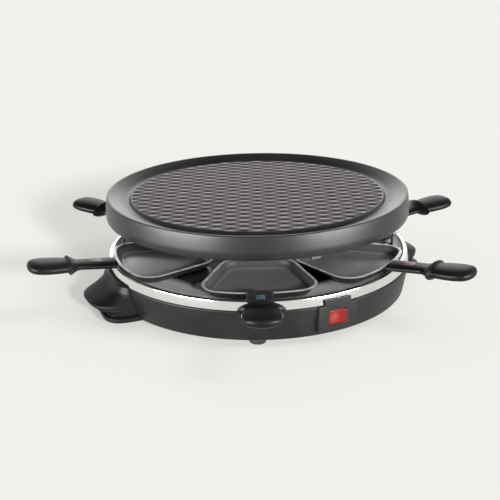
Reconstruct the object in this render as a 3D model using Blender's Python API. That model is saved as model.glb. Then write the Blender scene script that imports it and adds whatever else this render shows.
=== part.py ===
"""Round raclette grill for six people.

A cast plate with a lozenge grid lies on a ring above a heating element. Six
small pans stand on a polished steel dish below it and are drawn out by their
handles. The dish sits in a black moulded base with two carrying handles, a
rocker switch, a bottom cover and four rubber feet.

Metres, +Z up. The origin is on the ground below the centre of the base. The
switch faces -Y. An azimuth is measured from -Y towards +X.
"""

import math

import bmesh
import bpy
from mathutils import Matrix, Vector
from mathutils.geometry import delaunay_2d_cdt

# Clearances
GAP = 0.0003
OVERRUN = 0.004

# Feet, bottom cover and the wall of the base
FOOT_HEIGHT = 0.0072
FOOT_RADIUS = 0.0086
FOOT_TAPER = 0.0012
FOOT_INSET = 0.014
FOOT_AZIMUTHS = (-28, 62, 152, -118)
COVER_THICKNESS = 0.002
BASE_WALL_HEIGHT = 0.0303
BASE_MARGIN = 0.0036
BASE_TAPER = 0.0056
BASE_WALL = 0.0026
BASE_EDGE = 0.0014
LEDGE_DEPTH = 0.0058
LEDGE_THICKNESS = 0.0025
FLANGE_THICKNESS = 0.0025
FLANGE_WIDTH = 0.024
FLANGE_RISE = 0.0003

# Polished dish with its outer band
SHEET = 0.001
BAND_HEIGHT = 0.0092
BAND_TOP_INSET = 0.0012
BAND_SETBACK = 0.0006
DISH_LIP_HEIGHT = 0.0033
DISH_RAMP_WIDTH = 0.0066
DISH_ROLL = 0.0016

# Posts, ring, element and clips that stand over the pans
STRAP = 0.0015
POST_WIDTH = 0.009
POST_INSET = 0.0043
POST_FOOT_LENGTH = 0.013
POST_ARM_REACH = 0.012
POST_BEND = 0.0085
POST_AZIMUTHS = (-118, 62, 120, 180)
RING_INSET = 0.006
RING_WIDTH = 0.015
RING_THICKNESS = 0.0016
ELEMENT_INSET = 0.008
ELEMENT_RADIUS = 0.00325
ELEMENT_RISE = 0.0205
ELEMENT_DROP = 0.0226
ELEMENT_BEND = 0.012
ELEMENT_LEG_SPACING = 0.011
ELEMENT_LEG_CLEARANCE = 0.0011
CLIP_WIDTH = 0.01
CLIP_HOOK = 0.0105
CLIP_AZIMUTHS = (0, 120, -120)
BUSH_RADIUS = 0.0047
BUSH_FLANGE_RADIUS = 0.0062
BUSH_FLANGE = 0.0024
BUSH_DROP = 0.006

# Screws and bosses
SCREW_RADIUS = 0.0016
SCREW_HEAD_RADIUS = 0.0034
SCREW_HEAD = 0.0022
SCREW_LENGTH = 0.016
BOSS_RADIUS = 0.0046
COVER_SCREW_INSET = 0.0095
COVER_SCREW_AZIMUTHS = (-52, 38, 128, -142)
COVER_BOSS_HEIGHT = 0.01
COVER_SCREW_LENGTH = 0.0105

# Grill plate, heights below its top edge
PLATE_RADIUS = 0.15
PLATE_HEIGHT = 0.0223
PLATE_FLARE = 0.0016
PLATE_SKIRT_WALL = 0.0035
PLATE_EDGE = 0.0018
PLATE_FLOOR_DEPTH = 0.0062
PLATE_THICKNESS = 0.0042
GRID_MARGIN = 0.025
GRID_TOP_DEPTH = 0.003
GRID_RELIEF = 0.0026
LOZENGE_LENGTH = 0.01225
LOZENGE_PITCH = 0.0122
GRID_TURN = -27.5
CHANNEL_WIDTH = 0.0085

# Raclette pans
PAN_CLEARANCE = 0.0009
PAN_SPACING = 60.0
PAN_SIDE_GAP = 0.0174
PAN_INNER_WIDTH_SHARE = 0.2205
PAN_INNER_DISTANCE_SHARE = 0.381
PAN_CORNER = 0.021
PAN_HEIGHT = 0.0088
PAN_SHEET = 0.001
PAN_FLANGE = 0.0024
PAN_FLOOR_INSET = 0.0102
PAN_PULL = 0.0035
TANG_WIDTH = 0.016
TANG_LENGTH = 0.0135
TANG_THICKNESS = 0.001

# Pan handles and their colour markers
HANDLE_GAP = 0.0017
HANDLE_LENGTH = 0.0842
HANDLE_RISE = 5.5
HANDLE_START_ABOVE_RIM = 0.0001
GRIP_WIDTH = 0.0345
GRIP_THICKNESS = 0.0112
MARKER_LENGTH = 0.012
MARKER_WIDTH = 0.008
MARKER_THICKNESS = 0.0014
MARKER_PLACE = 0.0203
MARKER_SEAT = 0.0023

# Rocker switch at azimuth 0
HOUSING_WIDTH = 0.040
HOUSING_TAB_WIDTH = 0.027
HOUSING_TAB_HEIGHT = 0.0053
HOUSING_RISE = 0.0006
HOUSING_PROUD = 0.0014
HOUSING_DEPTH = 0.0142
TAB_THICKNESS = 0.0016
ROCKER_WIDTH = 0.0176
ROCKER_HEIGHT = 0.013
ROCKER_THICKNESS = 0.005
ROCKER_HOLLOW = 0.0011
ROCKER_TILT = 7.0
ROCKER_PIVOT_DEPTH = 0.0036
PIN_RADIUS = 0.001
PIN_END = 0.0029
SWITCH_BODY_DEPTH = 0.014
SWITCH_BODY_SETBACK = 0.0088
LAMP_RADIUS = 0.002
LAMP_LENGTH = 0.010

# Carrying handles
CARRY_AZIMUTHS = (-93, 87)
CARRY_ROOT_INSET = 0.010
CARRY_REACH = 0.048
CARRY_HALF_WIDTH = 0.046
CARRY_WALL = 0.003
CARRY_WAIST = 0.004

# Parts inside the base
SHIELD_INSET = 0.016
SHIELD_FLANGE = 0.008
SHIELD_DEPTH = 0.0101
SHIELD_SHEET = 0.0009
BLOCK_WIDTH = 0.038
BLOCK_DEPTH = 0.018
BLOCK_HEIGHT = 0.0145
BLOCK_SOCKET_DEPTH = 0.0056
FUSE_RADIUS = 0.0025
FUSE_LENGTH = 0.016
FUSE_INSET = 0.003
FUSE_AZIMUTH = 160
WIRE_RADIUS = 0.0012
WIRE_INSET = 0.005
WIRE_RISE = 0.004
WIRE_BEND = 0.006
INLET_TURN_INSET = 0.0085
INLET_RISE = 0.0006
INLET_BARREL_RADIUS = 0.0055
INLET_FLANGE_RADIUS = 0.008
INLET_FLANGE = 0.0025
INLET_BORE_RADIUS = 0.0036
INLET_LIP = 0.0016

# Radii that follow from the plate's radius, from the wall of the base inwards
BASE_TOP_RADIUS = PLATE_RADIUS + BASE_MARGIN
BASE_BOTTOM_RADIUS = BASE_TOP_RADIUS - BASE_TAPER
FOOT_CIRCLE = BASE_BOTTOM_RADIUS - FOOT_INSET
FLANGE_INNER_RADIUS = BASE_BOTTOM_RADIUS - FLANGE_WIDTH
COVER_SCREW_CIRCLE = BASE_BOTTOM_RADIUS - COVER_SCREW_INSET
CARRY_ROOT_RADIUS = BASE_BOTTOM_RADIUS - CARRY_ROOT_INSET
INLET_TURN_RADIUS = BASE_BOTTOM_RADIUS - INLET_TURN_INSET
WIRE_CIRCLE = FLANGE_INNER_RADIUS - WIRE_INSET
BAND_RADIUS = BASE_TOP_RADIUS - BAND_SETBACK - BASE_EDGE / 2
BAND_TOP_RADIUS = BAND_RADIUS - BAND_TOP_INSET
DISH_LIP_RADIUS = BAND_TOP_RADIUS - 2 * DISH_ROLL
DISH_RAMP_RADIUS = DISH_LIP_RADIUS - DISH_RAMP_WIDTH
POST_CIRCLE = DISH_RAMP_RADIUS - POST_INSET
POST_SCREW_CIRCLE = POST_CIRCLE - POST_FOOT_LENGTH / 2
RING_OUTER_RADIUS = POST_CIRCLE - RING_INSET
RING_INNER_RADIUS = RING_OUTER_RADIUS - RING_WIDTH
ELEMENT_CIRCLE = RING_INNER_RADIUS - ELEMENT_INSET
SHIELD_RADIUS = ELEMENT_CIRCLE - SHIELD_INSET
FUSE_CIRCLE = ELEMENT_CIRCLE - FUSE_INSET
GRID_RADIUS = PLATE_RADIUS - GRID_MARGIN
PAN_RADIUS = DISH_LIP_RADIUS - PAN_CLEARANCE
PAN_HALF_ANGLE = PAN_SPACING / 2 - math.degrees(math.asin(PAN_SIDE_GAP / PAN_RADIUS))
PAN_INNER_DISTANCE = PAN_RADIUS * PAN_INNER_DISTANCE_SHARE
PAN_INNER_HALF_WIDTH = PAN_RADIUS * PAN_INNER_WIDTH_SHARE
HANDLE_START = PAN_RADIUS + HANDLE_GAP

# Levels that follow from the sizes above
BASE_BOTTOM = FOOT_HEIGHT
BASE_TOP = BASE_BOTTOM + BASE_WALL_HEIGHT
DISH_TOP = BASE_TOP + BAND_HEIGHT
DISH_FLOOR = DISH_TOP - DISH_LIP_HEIGHT
PAN_BOTTOM = DISH_FLOOR + GAP
PAN_RIM = PAN_BOTTOM + PAN_HEIGHT
COVER_TOP = BASE_BOTTOM + COVER_THICKNESS
FLANGE_BOTTOM = COVER_TOP + FLANGE_RISE
FLANGE_TOP = FLANGE_BOTTOM + FLANGE_THICKNESS
ELEMENT_HEIGHT = PAN_RIM + ELEMENT_RISE
PLATE_UNDERSIDE = ELEMENT_HEIGHT + ELEMENT_DROP
OVERALL_HEIGHT = PLATE_UNDERSIDE + PLATE_THICKNESS + PLATE_FLOOR_DEPTH
RING_TOP = PLATE_UNDERSIDE - GAP
RING_BOTTOM = RING_TOP - RING_THICKNESS
HOUSING_LOW = FLANGE_TOP + HOUSING_RISE
ROCKER_CENTRE_HEIGHT = (HOUSING_LOW + BASE_TOP) / 2
INLET_HEIGHT = (BASE_BOTTOM + BASE_TOP) / 2 + INLET_RISE
BLOCK_TOP = COVER_TOP + GAP + BLOCK_HEIGHT
ELEMENT_LEG_END = BLOCK_TOP - BLOCK_SOCKET_DEPTH + ELEMENT_LEG_CLEARANCE
WIRE_HEIGHT = BLOCK_TOP + WIRE_RISE
SCREW_HOLE_RADIUS = SCREW_RADIUS + GAP
PIN_LENGTH = ROCKER_HEIGHT + 2 * PIN_END

SEGMENTS = 60
FULL_TURN = 360.0


def radians(degrees):
    return math.radians(degrees)


def around(azimuth):
    """Turn from the place on -Y to the same place at an azimuth."""
    return Matrix.Rotation(radians(azimuth), 4, 'Z')


def spot(radius, azimuth, height=0.0):
    angle = radians(azimuth)
    return Vector((radius * math.sin(angle), -radius * math.cos(angle), height))


def clear_scene():
    for item in list(bpy.data.objects):
        bpy.data.objects.remove(item, do_unlink=True)


def finish(name, colour, roughness, metallic=0.0, emission=None):
    """A plain material in the colour of the part."""
    item = bpy.data.materials.new(name)
    item.use_nodes = True
    shader = item.node_tree.nodes['Principled BSDF']
    shader.inputs['Base Color'].default_value = (*colour, 1.0)
    shader.inputs['Roughness'].default_value = roughness
    shader.inputs['Metallic'].default_value = metallic
    if emission:
        shader.inputs['Emission Color'].default_value = (*emission, 1.0)
        shader.inputs['Emission Strength'].default_value = 1.0
    item.diffuse_color = (*colour, 1.0)
    return item


class Finishes:
    """The materials of the grill, by what they are used on."""

    def __init__(self):
        self.base = finish('black_moulding', (0.035, 0.035, 0.037), 0.5)
        self.grip = finish('grip_moulding', (0.03, 0.03, 0.032), 0.42)
        self.steel = finish('polished_steel', (0.80, 0.80, 0.80), 0.14, 1.0)
        self.cast = finish('coated_casting', (0.06, 0.057, 0.056), 0.36, 0.35)
        self.pan = finish('coated_pan', (0.10, 0.095, 0.092), 0.33, 0.4)
        self.dark_steel = finish('blackened_steel', (0.06, 0.06, 0.06), 0.45, 0.8)
        self.zinc = finish('zinc_plate', (0.62, 0.62, 0.60), 0.35, 1.0)
        self.element = finish('element_sheath', (0.16, 0.12, 0.10), 0.5, 0.7)
        self.aluminium = finish('aluminium_sheet', (0.75, 0.75, 0.76), 0.4, 1.0)
        self.ceramic = finish('white_ceramic', (0.85, 0.83, 0.78), 0.4)
        self.rubber = finish('black_rubber', (0.02, 0.02, 0.02), 0.75)
        self.red = finish('red_lens', (0.75, 0.03, 0.02), 0.2, 0.0, (0.5, 0.02, 0.01))
        self.glass = finish('lamp_glass', (0.95, 0.55, 0.35), 0.1)
        self.brown_wire = finish('brown_insulation', (0.20, 0.07, 0.03), 0.5)
        self.black_wire = finish('black_insulation', (0.02, 0.02, 0.02), 0.5)
        self.blue_wire = finish('blue_insulation', (0.02, 0.10, 0.40), 0.5)
        self.markers = {
            'teal': finish('teal_marker', (0.03, 0.20, 0.22), 0.4),
            'red': finish('red_marker', (0.30, 0.02, 0.04), 0.4),
            'olive': finish('olive_marker', (0.22, 0.23, 0.05), 0.4),
            'blue': finish('blue_marker', (0.03, 0.10, 0.35), 0.4),
            'orange': finish('orange_marker', (0.60, 0.20, 0.02), 0.4),
            'white': finish('white_marker', (0.75, 0.75, 0.72), 0.4),
        }


def add(name, shape, material, smooth=None, place=None, parent=None):
    """Store a finished bmesh as a named object."""
    bmesh.ops.recalc_face_normals(shape, faces=shape.faces)
    mesh = bpy.data.meshes.new(name)
    shape.to_mesh(mesh)
    shape.free()
    if smooth:
        mesh.shade_smooth()
        mesh.set_sharp_from_angle(angle=radians(smooth))
    item = bpy.data.objects.new(name, mesh)
    bpy.context.scene.collection.objects.link(item)
    if material:
        mesh.materials.append(material)
    if parent:
        item.parent = parent
    if place:
        item.matrix_local = place
    return item


def pivot(name, place):
    """An empty that carries the pieces of one moving body."""
    item = bpy.data.objects.new(name, None)
    bpy.context.scene.collection.objects.link(item)
    item.matrix_local = place
    return item


def tool(name, shape, place=None, parent=None):
    """A shape that only cuts or joins, left out of the model."""
    item = add(name, shape, None, place=place, parent=parent)
    item.hide_render = True
    item.display_type = 'WIRE'
    return item


def combine(item, other, operation):
    step = item.modifiers.new(operation.title() + ' ' + other.name, 'BOOLEAN')
    step.operation = operation
    step.solver = 'EXACT'
    step.object = other


def shell(rings, first_cap=True, last_cap=True, wrap=False):
    """Skin a list of rings of points, each ring a closed loop."""
    shape = bmesh.new()
    rows = [[shape.verts.new(point) for point in ring] for ring in rings]
    pairs = list(zip(rows, rows[1:]))
    if wrap:
        pairs.append((rows[-1], rows[0]))
    for lower, upper in pairs:
        count = len(lower)
        for index in range(count):
            after = (index + 1) % count
            shape.faces.new((lower[index], lower[after], upper[after], upper[index]))
    if first_cap and not wrap:
        shape.faces.new(list(reversed(rows[0])))
    if last_cap and not wrap:
        shape.faces.new(rows[-1])
    return shape


def turned(profile, segments=SEGMENTS):
    """Turn an outline of (radius, height) about Z.

    An outline that starts and ends on the axis is open there; any other
    outline is closed on itself.
    """
    shape = bmesh.new()
    columns = []
    for radius, height in profile:
        if radius == 0:
            columns.append([shape.verts.new((0, 0, height))] * segments)
            continue
        columns.append([shape.verts.new(spot(radius, FULL_TURN * step / segments, height))
                        for step in range(segments)])
    closed = profile[0][0] > 0
    pairs = list(zip(columns, columns[1:]))
    if closed:
        pairs.append((columns[-1], columns[0]))
    for lower, upper in pairs:
        for index in range(segments):
            after = (index + 1) % segments
            corners = [lower[index], lower[after], upper[after], upper[index]]
            unique = list(dict.fromkeys(corners))
            if len(unique) > 2:
                shape.faces.new(unique)
    return shape


def circle_points(radius, count, phase=0.0):
    return [(radius * math.cos(2 * math.pi * step / count + phase),
             radius * math.sin(2 * math.pi * step / count + phase)) for step in range(count)]


def prism(outline, low, high):
    """Stand an outline in XY up between two heights."""
    return shell([[Vector((x, y, low)) for x, y in outline],
                  [Vector((x, y, high)) for x, y in outline]])


def block(low, high):
    (x0, y0, z0), (x1, y1, z1) = low, high
    return prism([(x0, y0), (x1, y0), (x1, y1), (x0, y1)], z0, z1)


def drum(radius, low, high, count=12, place=None):
    """A cylinder along Z, moved by an optional matrix."""
    shape = prism(circle_points(radius, count, math.pi / count), low, high)
    if place:
        shape.transform(place)
    return shape


def gather(shapes):
    """Put several separate shapes into one."""
    result = bmesh.new()
    for shape in shapes:
        mesh = bpy.data.meshes.new('gather')
        shape.to_mesh(mesh)
        shape.free()
        result.from_mesh(mesh)
        bpy.data.meshes.remove(mesh)
    bmesh.ops.recalc_face_normals(result, faces=result.faces)
    return result


def bent_strap(outline, width):
    """Extrude an outline in (distance out, height) sideways by a width."""
    half = width / 2
    return shell([[Vector((-half, -out, up)) for out, up in outline],
                  [Vector((half, -out, up)) for out, up in outline]])


def bend(centre, radius, start, end, steps):
    """Points on an arc, angles in degrees."""
    points = []
    for step in range(steps + 1):
        angle = radians(start + (end - start) * step / steps)
        points.append((centre[0] + radius * math.cos(angle), centre[1] + radius * math.sin(angle)))
    return points


def tube(points, radius, sides=8):
    """Sweep a round section along points, with flat ends."""
    tangents = []
    for index, point in enumerate(points):
        before = points[max(index - 1, 0)]
        after = points[min(index + 1, len(points) - 1)]
        tangents.append((after - before).normalized())
    normal = tangents[0].orthogonal().normalized()
    rings = []
    for point, tangent in zip(points, tangents):
        normal = (normal - tangent * normal.dot(tangent)).normalized()
        side = tangent.cross(normal)
        rings.append([point + (normal * x + side * y) for x, y in circle_points(radius, sides)])
    return shell(rings)


def base_wall_radius(height):
    """Outer radius of the tapered wall of the base at a height."""
    share = (height - BASE_BOTTOM) / BASE_WALL_HEIGHT
    return BASE_BOTTOM_RADIUS + (BASE_TOP_RADIUS - BASE_BOTTOM_RADIUS) * share


def base_inside_radius(height):
    """Inner radius of the wall of the base above its flange."""
    share = (height - FLANGE_TOP) / (BASE_TOP - LEDGE_THICKNESS - FLANGE_TOP)
    return BASE_BOTTOM_RADIUS - BASE_WALL + (BASE_TOP_RADIUS - BASE_BOTTOM_RADIUS) * share


def screw(head_down, length):
    """A pan-head screw along Z with its seat at height zero."""
    sign = -1 if head_down else 1
    profile = [(0, sign * SCREW_HEAD),
               (SCREW_HEAD_RADIUS * 0.7, sign * SCREW_HEAD),
               (SCREW_HEAD_RADIUS, sign * SCREW_HEAD * 0.5),
               (SCREW_HEAD_RADIUS, 0),
               (SCREW_RADIUS, 0),
               (SCREW_RADIUS, -sign * (length - SCREW_RADIUS)),
               (0, -sign * length)]
    return turned(profile, 10)


def build_base(finishes):
    """Moulded base with its flange, bosses and openings."""
    wall_inside_bottom = BASE_BOTTOM_RADIUS - BASE_WALL
    wall_inside_top = BASE_TOP_RADIUS - BASE_WALL
    profile = [
        (wall_inside_bottom, BASE_BOTTOM),
        (BASE_BOTTOM_RADIUS - BASE_EDGE, BASE_BOTTOM),
        (BASE_BOTTOM_RADIUS, BASE_BOTTOM + BASE_EDGE),
        (BASE_TOP_RADIUS, BASE_TOP - BASE_EDGE),
        (BASE_TOP_RADIUS - BASE_EDGE / 2, BASE_TOP),
        (BASE_TOP_RADIUS - LEDGE_DEPTH, BASE_TOP),
        (BASE_TOP_RADIUS - LEDGE_DEPTH, BASE_TOP - LEDGE_THICKNESS),
        (wall_inside_top, BASE_TOP - LEDGE_THICKNESS),
        (wall_inside_bottom, FLANGE_TOP),
        (FLANGE_INNER_RADIUS, FLANGE_TOP),
        (FLANGE_INNER_RADIUS, FLANGE_BOTTOM),
        (wall_inside_bottom, FLANGE_BOTTOM),
    ]
    base = add('base_housing', turned(profile), finishes.base, smooth=35)

    boss_top = DISH_FLOOR - SHEET - GAP
    bosses = [drum(BOSS_RADIUS, FLANGE_BOTTOM + FLANGE_THICKNESS / 2, boss_top, 10,
                   Matrix.Translation(spot(POST_SCREW_CIRCLE, azimuth)))
              for azimuth in POST_AZIMUTHS]
    bosses += [drum(BOSS_RADIUS, FLANGE_BOTTOM + FLANGE_THICKNESS / 2,
                    FLANGE_TOP + COVER_BOSS_HEIGHT, 10,
                    Matrix.Translation(spot(COVER_SCREW_CIRCLE, azimuth)))
               for azimuth in COVER_SCREW_AZIMUTHS]
    combine(base, tool('base_bosses', gather(bosses)), 'UNION')

    holes = [drum(SCREW_HOLE_RADIUS, boss_top - SCREW_LENGTH, boss_top + OVERRUN, 8,
                  Matrix.Translation(spot(POST_SCREW_CIRCLE, azimuth)))
             for azimuth in POST_AZIMUTHS]
    holes += [drum(SCREW_HOLE_RADIUS, BASE_BOTTOM, COVER_TOP + COVER_SCREW_LENGTH, 8,
                   Matrix.Translation(spot(COVER_SCREW_CIRCLE, azimuth)))
              for azimuth in COVER_SCREW_AZIMUTHS]
    holes.append(block((-HOUSING_WIDTH / 2 - GAP, -BASE_TOP_RADIUS - OVERRUN, HOUSING_LOW - GAP),
                       (HOUSING_WIDTH / 2 + GAP, HOUSING_BACK + GAP, BASE_TOP + OVERRUN)))
    holes.append(drum(INLET_BARREL_RADIUS + GAP, wall_inside_bottom - OVERRUN,
                      BASE_TOP_RADIUS + OVERRUN, 16, INLET_AXIS))
    combine(base, tool('base_openings', gather(holes)), 'DIFFERENCE')


HOUSING_FRONT = -(BASE_TOP_RADIUS + HOUSING_PROUD - BASE_EDGE / 2)
HOUSING_BACK = HOUSING_FRONT + HOUSING_DEPTH
INLET_AXIS = (Matrix.Translation((0, 0, INLET_HEIGHT)) @ Matrix.Rotation(radians(-90), 4, 'X'))


def build_cover(finishes):
    """Flat cover under the base, with its screws and the feet."""
    radius = BASE_BOTTOM_RADIUS - BASE_WALL - GAP
    cover = add('bottom_cover', drum(radius, BASE_BOTTOM, COVER_TOP, 48), finishes.base)
    cuts = [drum(SCREW_HOLE_RADIUS, BASE_BOTTOM - OVERRUN, COVER_TOP + OVERRUN, 8,
                 Matrix.Translation(spot(COVER_SCREW_CIRCLE, azimuth)))
            for azimuth in COVER_SCREW_AZIMUTHS]
    combine(cover, tool('cover_openings', gather(cuts)), 'DIFFERENCE')

    seat = BASE_BOTTOM - GAP
    for number, azimuth in enumerate(COVER_SCREW_AZIMUTHS, 1):
        add(f'cover_screw_{number}', screw(True, COVER_SCREW_LENGTH), finishes.zinc, 30,
            Matrix.Translation(spot(COVER_SCREW_CIRCLE, azimuth, seat)))
    bottom_radius = FOOT_RADIUS - FOOT_TAPER
    profile = [(0, 0), (bottom_radius - FOOT_TAPER / 2, 0), (bottom_radius, FOOT_TAPER / 2),
               (FOOT_RADIUS, seat), (0, seat)]
    for number, azimuth in enumerate(FOOT_AZIMUTHS, 1):
        add(f'foot_{number}', turned(profile, 16), finishes.rubber, 35,
            Matrix.Translation(spot(FOOT_CIRCLE, azimuth)))


def build_dish(finishes):
    """Polished dish on which the pans stand, with its outer band."""
    band_foot = BASE_TOP + GAP
    top_radius = BAND_TOP_RADIUS
    lip_inside = DISH_LIP_RADIUS
    ramp_start = DISH_RAMP_RADIUS
    under = DISH_FLOOR - SHEET
    profile = [
        (0, DISH_FLOOR),
        (ramp_start, DISH_FLOOR),
        (ramp_start + DISH_RAMP_WIDTH / 2, DISH_FLOOR + DISH_LIP_HEIGHT * 0.3),
        (lip_inside, DISH_TOP - DISH_ROLL * 0.4),
        (lip_inside + DISH_ROLL * 0.6, DISH_TOP),
        (top_radius - DISH_ROLL * 0.4, DISH_TOP),
        (top_radius, DISH_TOP - DISH_ROLL * 0.5),
        (BAND_RADIUS, band_foot),
        (BAND_RADIUS - SHEET, band_foot),
        (top_radius - SHEET, DISH_TOP - DISH_ROLL * 0.5 - SHEET),
        (lip_inside + SHEET / 2, DISH_TOP - DISH_ROLL * 0.4 - SHEET),
        (ramp_start + DISH_RAMP_WIDTH / 2, under + DISH_LIP_HEIGHT * 0.3),
        (ramp_start, under),
        (0, under),
    ]
    dish = add('reflector_dish', turned(profile, 72), finishes.steel, smooth=40)
    cuts = [drum(SCREW_HOLE_RADIUS, under - OVERRUN, DISH_FLOOR + OVERRUN, 8,
                 Matrix.Translation(spot(POST_SCREW_CIRCLE, azimuth)))
            for azimuth in POST_AZIMUTHS]
    cuts.append(prism(bush_outline(BUSH_RADIUS + GAP), under - OVERRUN, DISH_FLOOR + OVERRUN))
    combine(dish, tool('dish_openings', gather(cuts)), 'DIFFERENCE')

    flange_top = under - GAP
    flange_low = flange_top - SHIELD_SHEET
    floor_top = flange_top - SHIELD_DEPTH
    neck = SHIELD_RADIUS - SHIELD_FLANGE
    profile = [
        (0, floor_top),
        (neck - SHIELD_DEPTH / 2, floor_top),
        (neck, flange_top),
        (SHIELD_RADIUS, flange_top),
        (SHIELD_RADIUS, flange_low),
        (neck + SHIELD_SHEET, flange_low),
        (neck - SHIELD_DEPTH / 2 + SHIELD_SHEET, floor_top - SHIELD_SHEET),
        (0, floor_top - SHIELD_SHEET),
    ]
    add('heat_shield', turned(profile, 32), finishes.aluminium, smooth=35)


ELEMENT_LEG_DISTANCE = math.sqrt(ELEMENT_CIRCLE ** 2 - (ELEMENT_LEG_SPACING / 2) ** 2)


def bush_outline(radius):
    """Oval outline round both legs of the element."""
    half = ELEMENT_LEG_SPACING / 2
    return (bend((half, ELEMENT_LEG_DISTANCE), radius, -90, 90, 6)
            + bend((-half, ELEMENT_LEG_DISTANCE), radius, 90, 270, 6))


def build_supports(finishes):
    """Posts, screws and the ring that carries the grill plate."""
    foot_low = DISH_FLOOR + GAP
    arm_top = RING_BOTTOM - GAP
    knee = arm_top - POST_BEND
    outer = POST_CIRCLE + STRAP / 2
    inner = POST_CIRCLE - STRAP / 2
    reach = POST_CIRCLE - POST_ARM_REACH
    outline = [
        (POST_CIRCLE - POST_FOOT_LENGTH, foot_low),
        (outer, foot_low),
        (outer, knee),
        (outer - POST_BEND + STRAP / 2, arm_top),
        (reach, arm_top),
        (reach, arm_top - STRAP),
        (inner - POST_BEND + STRAP, arm_top - STRAP),
        (inner, knee - STRAP / 2),
        (inner, foot_low + STRAP),
        (POST_CIRCLE - POST_FOOT_LENGTH, foot_low + STRAP),
    ]
    hole = tool('post_hole', drum(SCREW_HOLE_RADIUS, foot_low - OVERRUN, foot_low + STRAP + OVERRUN,
                                  8, Matrix.Translation(spot(POST_SCREW_CIRCLE, 0))))
    for number, azimuth in enumerate(POST_AZIMUTHS, 1):
        post = add(f'support_post_{number}', bent_strap(outline, POST_WIDTH), finishes.dark_steel,
                   place=around(azimuth))
        cutter = bpy.data.objects.new(f'post_hole_{number}', hole.data)
        bpy.context.scene.collection.objects.link(cutter)
        cutter.matrix_local = around(azimuth)
        cutter.hide_render = True
        cutter.display_type = 'WIRE'
        combine(post, cutter, 'DIFFERENCE')
        seat = foot_low + STRAP + GAP
        add(f'post_screw_{number}', screw(False, SCREW_LENGTH), finishes.zinc, 30,
            Matrix.Translation(spot(POST_SCREW_CIRCLE, azimuth, seat)))
    bpy.data.objects.remove(hole)

    profile = [(RING_INNER_RADIUS, RING_BOTTOM), (RING_OUTER_RADIUS, RING_BOTTOM),
               (RING_OUTER_RADIUS, RING_TOP), (RING_INNER_RADIUS, RING_TOP)]
    add('support_ring', turned(profile, 48), finishes.dark_steel, smooth=35)


def element_path():
    """Centre line of the heating element: leg, bend, loop, bend, leg."""
    start = math.degrees(math.asin(ELEMENT_LEG_SPACING / 2 / ELEMENT_CIRCLE))
    bend_angle = math.degrees(ELEMENT_BEND / ELEMENT_CIRCLE)
    low = ELEMENT_HEIGHT - ELEMENT_BEND
    half = []
    for height in (ELEMENT_LEG_END, (ELEMENT_LEG_END + low) / 2):
        half.append(spot(ELEMENT_CIRCLE, 180 - start, height))
    bend_steps = 4
    for step in range(bend_steps + 1):
        turn = math.pi / 2 * step / bend_steps
        azimuth = 180 - start - bend_angle * (1 - math.cos(turn))
        half.append(spot(ELEMENT_CIRCLE, azimuth, low + ELEMENT_BEND * math.sin(turn)))
    first = 180 - start - bend_angle
    steps = 18
    half += [spot(ELEMENT_CIRCLE, first * (1 - step / steps), ELEMENT_HEIGHT)
             for step in range(1, steps + 1)]
    other = [Vector((-point.x, point.y, point.z)) for point in half[:-1]]
    return half + list(reversed(other))


def build_element(finishes):
    """Tubular element with its clips and ceramic bushes."""
    add('heating_element', tube(element_path(), ELEMENT_RADIUS, 8), finishes.element, smooth=50)

    arm_top = RING_BOTTOM - GAP
    web_outer = RING_INNER_RADIUS
    web_inner = web_outer - STRAP
    hook_top = ELEMENT_HEIGHT - ELEMENT_RADIUS - GAP
    hook_end = web_outer - CLIP_HOOK
    arm_end = (RING_INNER_RADIUS + RING_OUTER_RADIUS) / 2
    outline = [
        (hook_end, hook_top), (hook_end, hook_top - STRAP), (web_outer, hook_top - STRAP),
        (web_outer, arm_top - STRAP), (arm_end, arm_top - STRAP), (arm_end, arm_top),
        (web_inner, arm_top), (web_inner, hook_top),
    ]
    for number, azimuth in enumerate(CLIP_AZIMUTHS, 1):
        add(f'element_clip_{number}', bent_strap(outline, CLIP_WIDTH), finishes.zinc,
            place=around(azimuth))

    seat = DISH_FLOOR + GAP
    bush = add('element_bush', prism(bush_outline(BUSH_FLANGE_RADIUS), seat, seat + BUSH_FLANGE),
               finishes.ceramic)
    barrel = prism(bush_outline(BUSH_RADIUS), seat - BUSH_DROP, seat + BUSH_FLANGE / 2)
    combine(bush, tool('bush_barrel', barrel), 'UNION')
    bores = [drum(ELEMENT_RADIUS + GAP, seat - BUSH_DROP - OVERRUN, seat + BUSH_FLANGE + OVERRUN, 12,
                  Matrix.Translation((side * ELEMENT_LEG_SPACING / 2, ELEMENT_LEG_DISTANCE, 0)))
             for side in (-1, 1)]
    combine(bush, tool('bush_bores', gather(bores)), 'DIFFERENCE')


def lozenge_grid():
    """Points of the raised grid and the pairs to keep as edges.

    Raised points and sunk points alternate like a chessboard, so each raised
    one stands as a lozenge between four sunk ones.
    """
    pitch = LOZENGE_PITCH / 2
    reach = GRID_RADIUS - pitch / 2
    columns = int(reach / LOZENGE_LENGTH)
    rows = int(reach / pitch)
    places = {}
    points = []
    heights = []
    for column in range(-columns, columns + 1):
        for row in range(-rows, rows + 1):
            x, y = column * LOZENGE_LENGTH, row * pitch
            if math.hypot(x, y) > reach:
                continue
            places[column, row] = len(points)
            points.append(Vector((x, y)))
            sunk = (column + row) % 2
            heights.append(GRID_TOP_DEPTH + (GRID_RELIEF if sunk else 0))
    valleys = []
    for (column, row), index in places.items():
        if (column + row) % 2:
            for step in (-1, 1):
                other = places.get((column + 1, row + step))
                if other is not None:
                    valleys.append((index, other))
    return points, heights, valleys


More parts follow.
